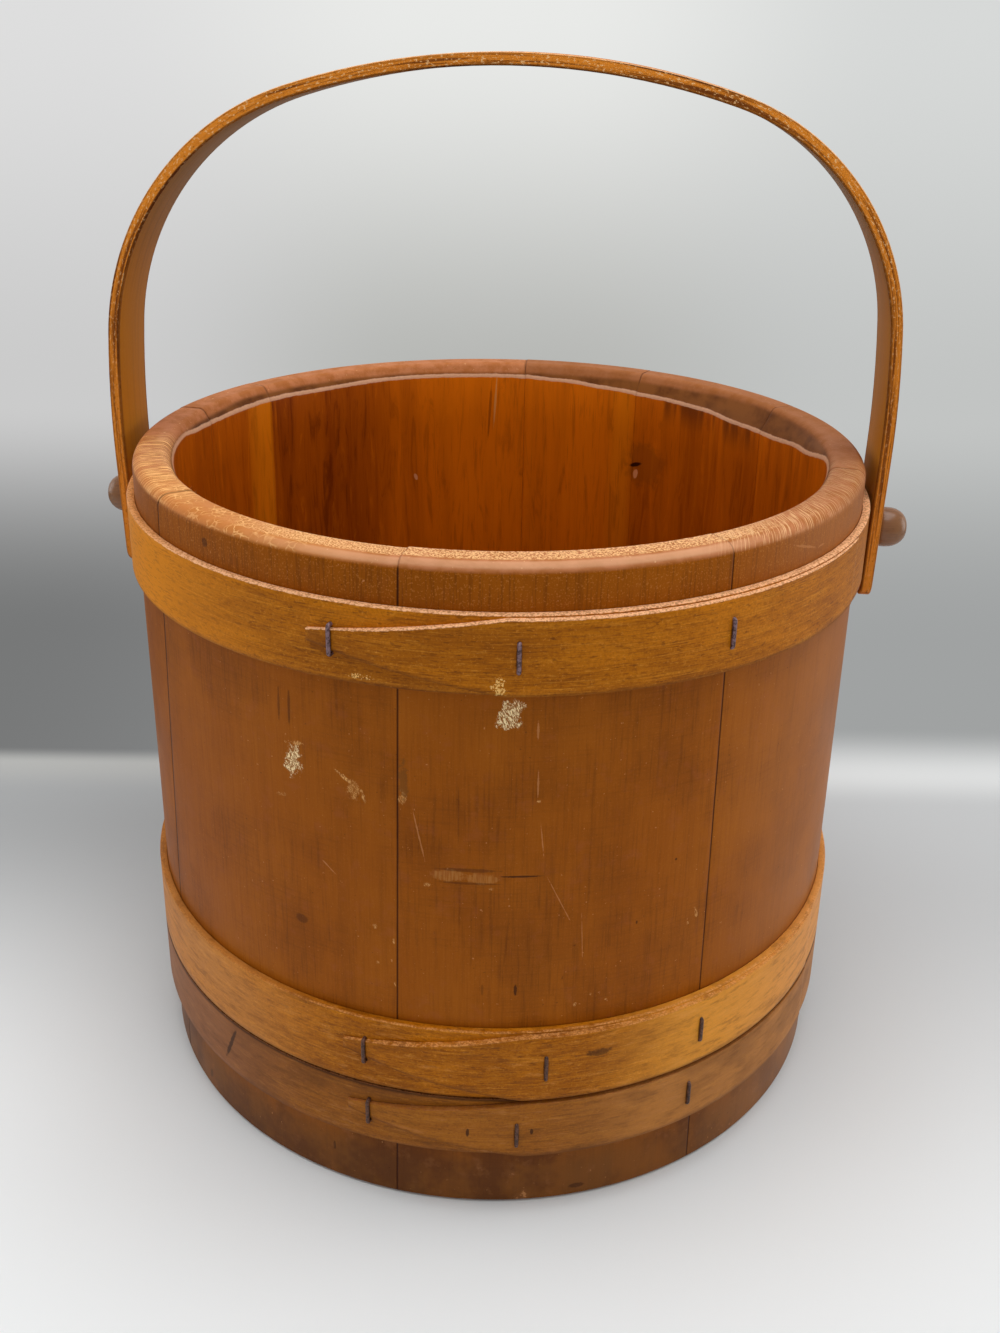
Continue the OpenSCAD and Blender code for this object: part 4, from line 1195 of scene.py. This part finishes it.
class FIRKIN_OT_pegs(bpy.types.Operator):
    """Turns a peg with a domed head, saws its notch for a wedge and sets one in each side"""

    bl_idname = "firkin.pegs"
    bl_label = "Pegs"

    def execute(self, context):
        s = sizes()
        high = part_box("right_peg")[1].x
        inner = wall_radius(PIVOT) - s.rim_radius + bevel_radius(read_table(LIP, 0)) - 0.3 * MM
        shank = BAIL_HIGH.x + 0.3 * MM - inner
        r, head, tall = s.peg_radius, s.head_radius, high - inner - shank
        points = [(0, 0), (r - 0.5 * MM, 0), (r, 0.5 * MM), (r, shank * 0.5), (r, shank), (head * 0.84, shank)]
        for share, width in ((0.03, 0.9), (0.09, 0.95), (0.2, 0.99), (0.34, 1), (0.5, 0.98), (0.63, 0.93), (0.75, 0.84),
                             (0.85, 0.72), (0.93, 0.56), (0.975, 0.39), (0.995, 0.2)):
            points.append((head * width, shank + tall * share))
        points.append((0, shank + tall))
        peg = draw_line("right_peg", points)
        turn_round(peg, 48)
        point_outwards(peg)
        place(peg, Matrix.Translation((inner, 0, PIVOT)) @ Matrix.Rotation(math.pi / 2, 4, "Y"))
        saw = self.prism("saw", inner, 1.05 * MM, r)
        apply_modifier(peg, "BOOLEAN", object=saw, operation="DIFFERENCE", solver="EXACT")
        wedge = self.prism("right_peg_wedge", inner, 1 * MM, r)
        clear_selection()
        bpy.ops.mesh.primitive_cylinder_add(vertices=48, radius=r - 0.06 * MM, depth=30 * MM,
                                            location=(inner + 14.8 * MM, 0, PIVOT), rotation=(0, math.pi / 2, 0))
        rod = context.object
        apply_modifier(wedge, "BOOLEAN", object=rod, operation="INTERSECT", solver="EXACT")
        for spare in (saw, rod):
            bpy.data.objects.remove(spare)
        peg_wood, wedge_wood = peg_finish(), wedge_finish()
        for piece, slot, material in ((peg, "peg", peg_wood), (wedge, "wedge", wedge_wood)):
            other = piece.copy()
            other.data = piece.data.copy()
            context.scene.collection.objects.link(other)
            place(other, Matrix.Rotation(math.pi, 4, "Z"))
            for copy, side in ((other, "left"), (piece, "right")):
                node = side + ("_peg" if slot == "peg" else "_peg_wedge")
                copy.name = copy.data.name = "visual_" + node
                hand_over(copy, material, "pail", slot, node, smooth=40)
        return {"FINISHED"}

    def prism(self, name, inner, half, reach):
        """A long wedge that points outwards from a peg's inner end."""
        piece = draw_section(name, [(inner - 0.5 * MM, half), (inner - 0.5 * MM, -half), (inner + 9 * MM, 0)])
        edit(piece, "FACE")
        bpy.ops.mesh.extrude_region_move(TRANSFORM_OT_translate={"value": (0, 4 * reach, 0)})
        leave_edit()
        place(piece, Matrix.Translation((0, -2 * reach, PIVOT)))
        point_outwards(piece)
        return piece


class FIRKIN_OT_bottom(bpy.types.Operator):
    """Gives the bottom boards their wood"""

    bl_idname = "firkin.bottom"
    bl_label = "Bottom"

    def execute(self, context):
        board = board_finish()
        for where in ("left", "middle", "right"):
            repaint(where + "_bottom_board", board)
        return {"FINISHED"}


def backdrop(f, bearing, drop):
    """The painted light and shade of the upright sheet at a bearing from the camera, over how far below the camera it
    is seen: darker low down and on the left, palest high on the right.
    """
    light = bpy.context.scene.firkin_stage.backdrop
    left, right = bearing.ramp(-0.06, -0.3), bearing.ramp(0.04, 0.28)
    low = f.mix(left, f.mix(right, tint(182, 183, 180), tint(194, 196, 195)), tint(203, 203, 203))
    high = f.mix(left, f.mix(right, light, tint(215, 217, 216)), tint(222, 222, 222))
    return f.mix(drop.ramp(0.75, -0.1), low, high)


class FIRKIN_OT_stage(bpy.types.Operator):
    """Lays the floor and sets up the lamps, the room's light and the camera"""

    bl_idname = "firkin.stage"
    bl_label = "Stage"

    def execute(self, context):
        scene = context.scene
        stage = scene.firkin_stage
        c = colours()
        clear_selection()
        bpy.ops.mesh.primitive_plane_add(size=60)
        floor = context.object
        floor.name = "Floor"
        f = Finish("Floor")
        # Across and away from the camera; the floor stays flat, and beyond a straight line behind the pail it only
        # shows a sheet that turns upwards
        turned = stage.camera_turn
        across = f.x * math.cos(turned) + f.y * math.sin(turned)
        away = f.y * math.cos(turned) - f.x * math.sin(turned)
        bearing = across / (away + stage.camera_distance)
        right = across.ramp(-0.2, 0.2)
        # Beyond that line the floor turns black for camera and glossy rays and glows with the painted sheet, though it
        # is no lamp
        behind = away.ramp(0.147, 0.147 + 0.036 * right + 0.016) * f.seen()
        # Painted shade on the near floor: darker towards the line and more so on the left, with a painted pale strip
        # just before it
        dim = f.mix(right, tint(166, 168, 169), tint(190, 192, 193))
        near = f.mix(right, c.floor, tint(230, 233, 234))
        near = f.mix(f.mix_value(right, away.ramp(-0.09, 0.11), away.ramp(-0.17, 0.06)), near, dim)
        near = f.mix(away.ramp(0.118, 0.148), near, f.mix(right, tint(178, 179, 177), tint(212, 214, 214)))
        # Painted shade of the sheet: darkest at its fold and on the left, paling upwards into the painted backdrop
        fold = f.mix(across.ramp(-0.3, 0.2), tint(119, 120, 120), tint(160, 162, 162))
        sheet = f.mix(away.ramp(0.3, 0.85), fold, backdrop(f, bearing, 1 / (away + stage.camera_distance)))
        f.set(Base_Color=f.mix(behind, near, (0, 0, 0)), Roughness=1, Specular_IOR_Level=0,
              Emission_Color=f.mix(behind, (0, 0, 0), sheet), Emission_Strength=1)
        floor.data.materials.append(f.material)

        world = bpy.data.worlds.new("Room")
        scene.world = world
        world.use_nodes = True
        room = Finish("Room", world.node_tree, "Background")
        light = (stage.sky, stage.sky, stage.sky)
        across = room.x * math.cos(turned) + room.y * math.sin(turned)
        away = (room.y * math.cos(turned) - room.x * math.sin(turned)).math("MAXIMUM", 0.05)
        # For camera and glossy rays the room shows the sheet's painted light and shade; other rays get the room's even
        # light
        seen = backdrop(room, across / away, room.z / (away * -stage.camera_height))
        room.set(Color=room.mix(room.seen(), light, seen))

        def lamp(name, power, place_at, size, look_at=(0, 0, 0.12)):
            bpy.ops.object.light_add(type="AREA", location=place_at)
            light = context.object
            light.name = name
            light.data.shape = "RECTANGLE"
            light.data.size, light.data.size_y = size
            light.data.energy = power
            aim = Vector(look_at) - Vector(place_at)
            light.rotation_euler = aim.to_track_quat("-Z", "Y").to_euler()
            return light

        lamp("Top lamp", stage.lamp, (0.1, -0.05, 1.1), (0.9, 0.9))
        lamp("Right lamp", stage.lamp * 0.26, (1.0, 0.15, 0.3), (0.5, 0.6))
        lamp("Left lamp", stage.lamp * 0.2, (-1.0, 0.1, 0.4), (0.5, 0.6))

        bpy.ops.object.camera_add()
        camera = context.object
        camera.name = "Camera"
        scene.camera = camera
        camera.data.sensor_fit = "VERTICAL"
        camera.data.sensor_height = 36
        camera.data.sensor_width = 36
        camera.data.lens = stage.lens
        camera.data.clip_start = 0.01
        turned = Matrix.Rotation(stage.camera_turn, 3, "Z")
        ahead = turned @ Vector((math.sin(stage.camera_pan) * math.cos(stage.camera_pitch),
                                 math.cos(stage.camera_pan) * math.cos(stage.camera_pitch),
                                 -math.sin(stage.camera_pitch)))
        right = turned @ Vector((math.cos(stage.camera_pan), -math.sin(stage.camera_pan), 0))
        up = right.cross(ahead)
        roll = stage.camera_roll
        right, up = right * math.cos(roll) + up * math.sin(roll), up * math.cos(roll) - right * math.sin(roll)
        camera.matrix_world = Matrix.Translation(turned @ Vector((0, -stage.camera_distance, stage.camera_height))
                                                 ) @ Matrix((right, up, -ahead)).transposed().to_4x4()
        scene.view_settings.view_transform = "Standard"
        return {"FINISHED"}


OPERATORS = (FIRKIN_OT_staves, FIRKIN_OT_hoops, FIRKIN_OT_staples, FIRKIN_OT_bail, FIRKIN_OT_pegs,
             FIRKIN_OT_bottom, FIRKIN_OT_stage)


class FIRKIN_PT_panel(bpy.types.Panel):
    """Lists the steps that build the firkin"""

    bl_idname = "FIRKIN_PT_panel"
    bl_label = "Sugar Firkin"
    bl_space_type = "VIEW_3D"
    bl_region_type = "UI"
    bl_category = "Firkin"

    def draw(self, context):
        for group in (context.scene.firkin_sizes, context.scene.firkin_colours, context.scene.firkin_stage):
            box = self.layout.box()
            for key in group.bl_rna.properties.keys():
                if key not in ("rna_type", "name"):
                    box.prop(group, key)
        for operator in OPERATORS:
            self.layout.operator(operator.bl_idname)


GROUPS = (FirkinSizes, FirkinColours, FirkinStage)


def register():
    for cls in (*GROUPS, *OPERATORS, FIRKIN_PT_panel):
        bpy.utils.register_class(cls)
    bpy.types.Scene.firkin_sizes = PointerProperty(type=FirkinSizes)
    bpy.types.Scene.firkin_colours = PointerProperty(type=FirkinColours)
    bpy.types.Scene.firkin_stage = PointerProperty(type=FirkinStage)


def unregister():
    del bpy.types.Scene.firkin_sizes, bpy.types.Scene.firkin_colours, bpy.types.Scene.firkin_stage
    for cls in (FIRKIN_PT_panel, *reversed(OPERATORS), *reversed(GROUPS)):
        bpy.utils.unregister_class(cls)


def main():
    register()
    for operator in OPERATORS:
        group, step = operator.bl_idname.split(".")
        getattr(getattr(bpy.ops, group), step)()


if __name__ == "__main__":
    main()
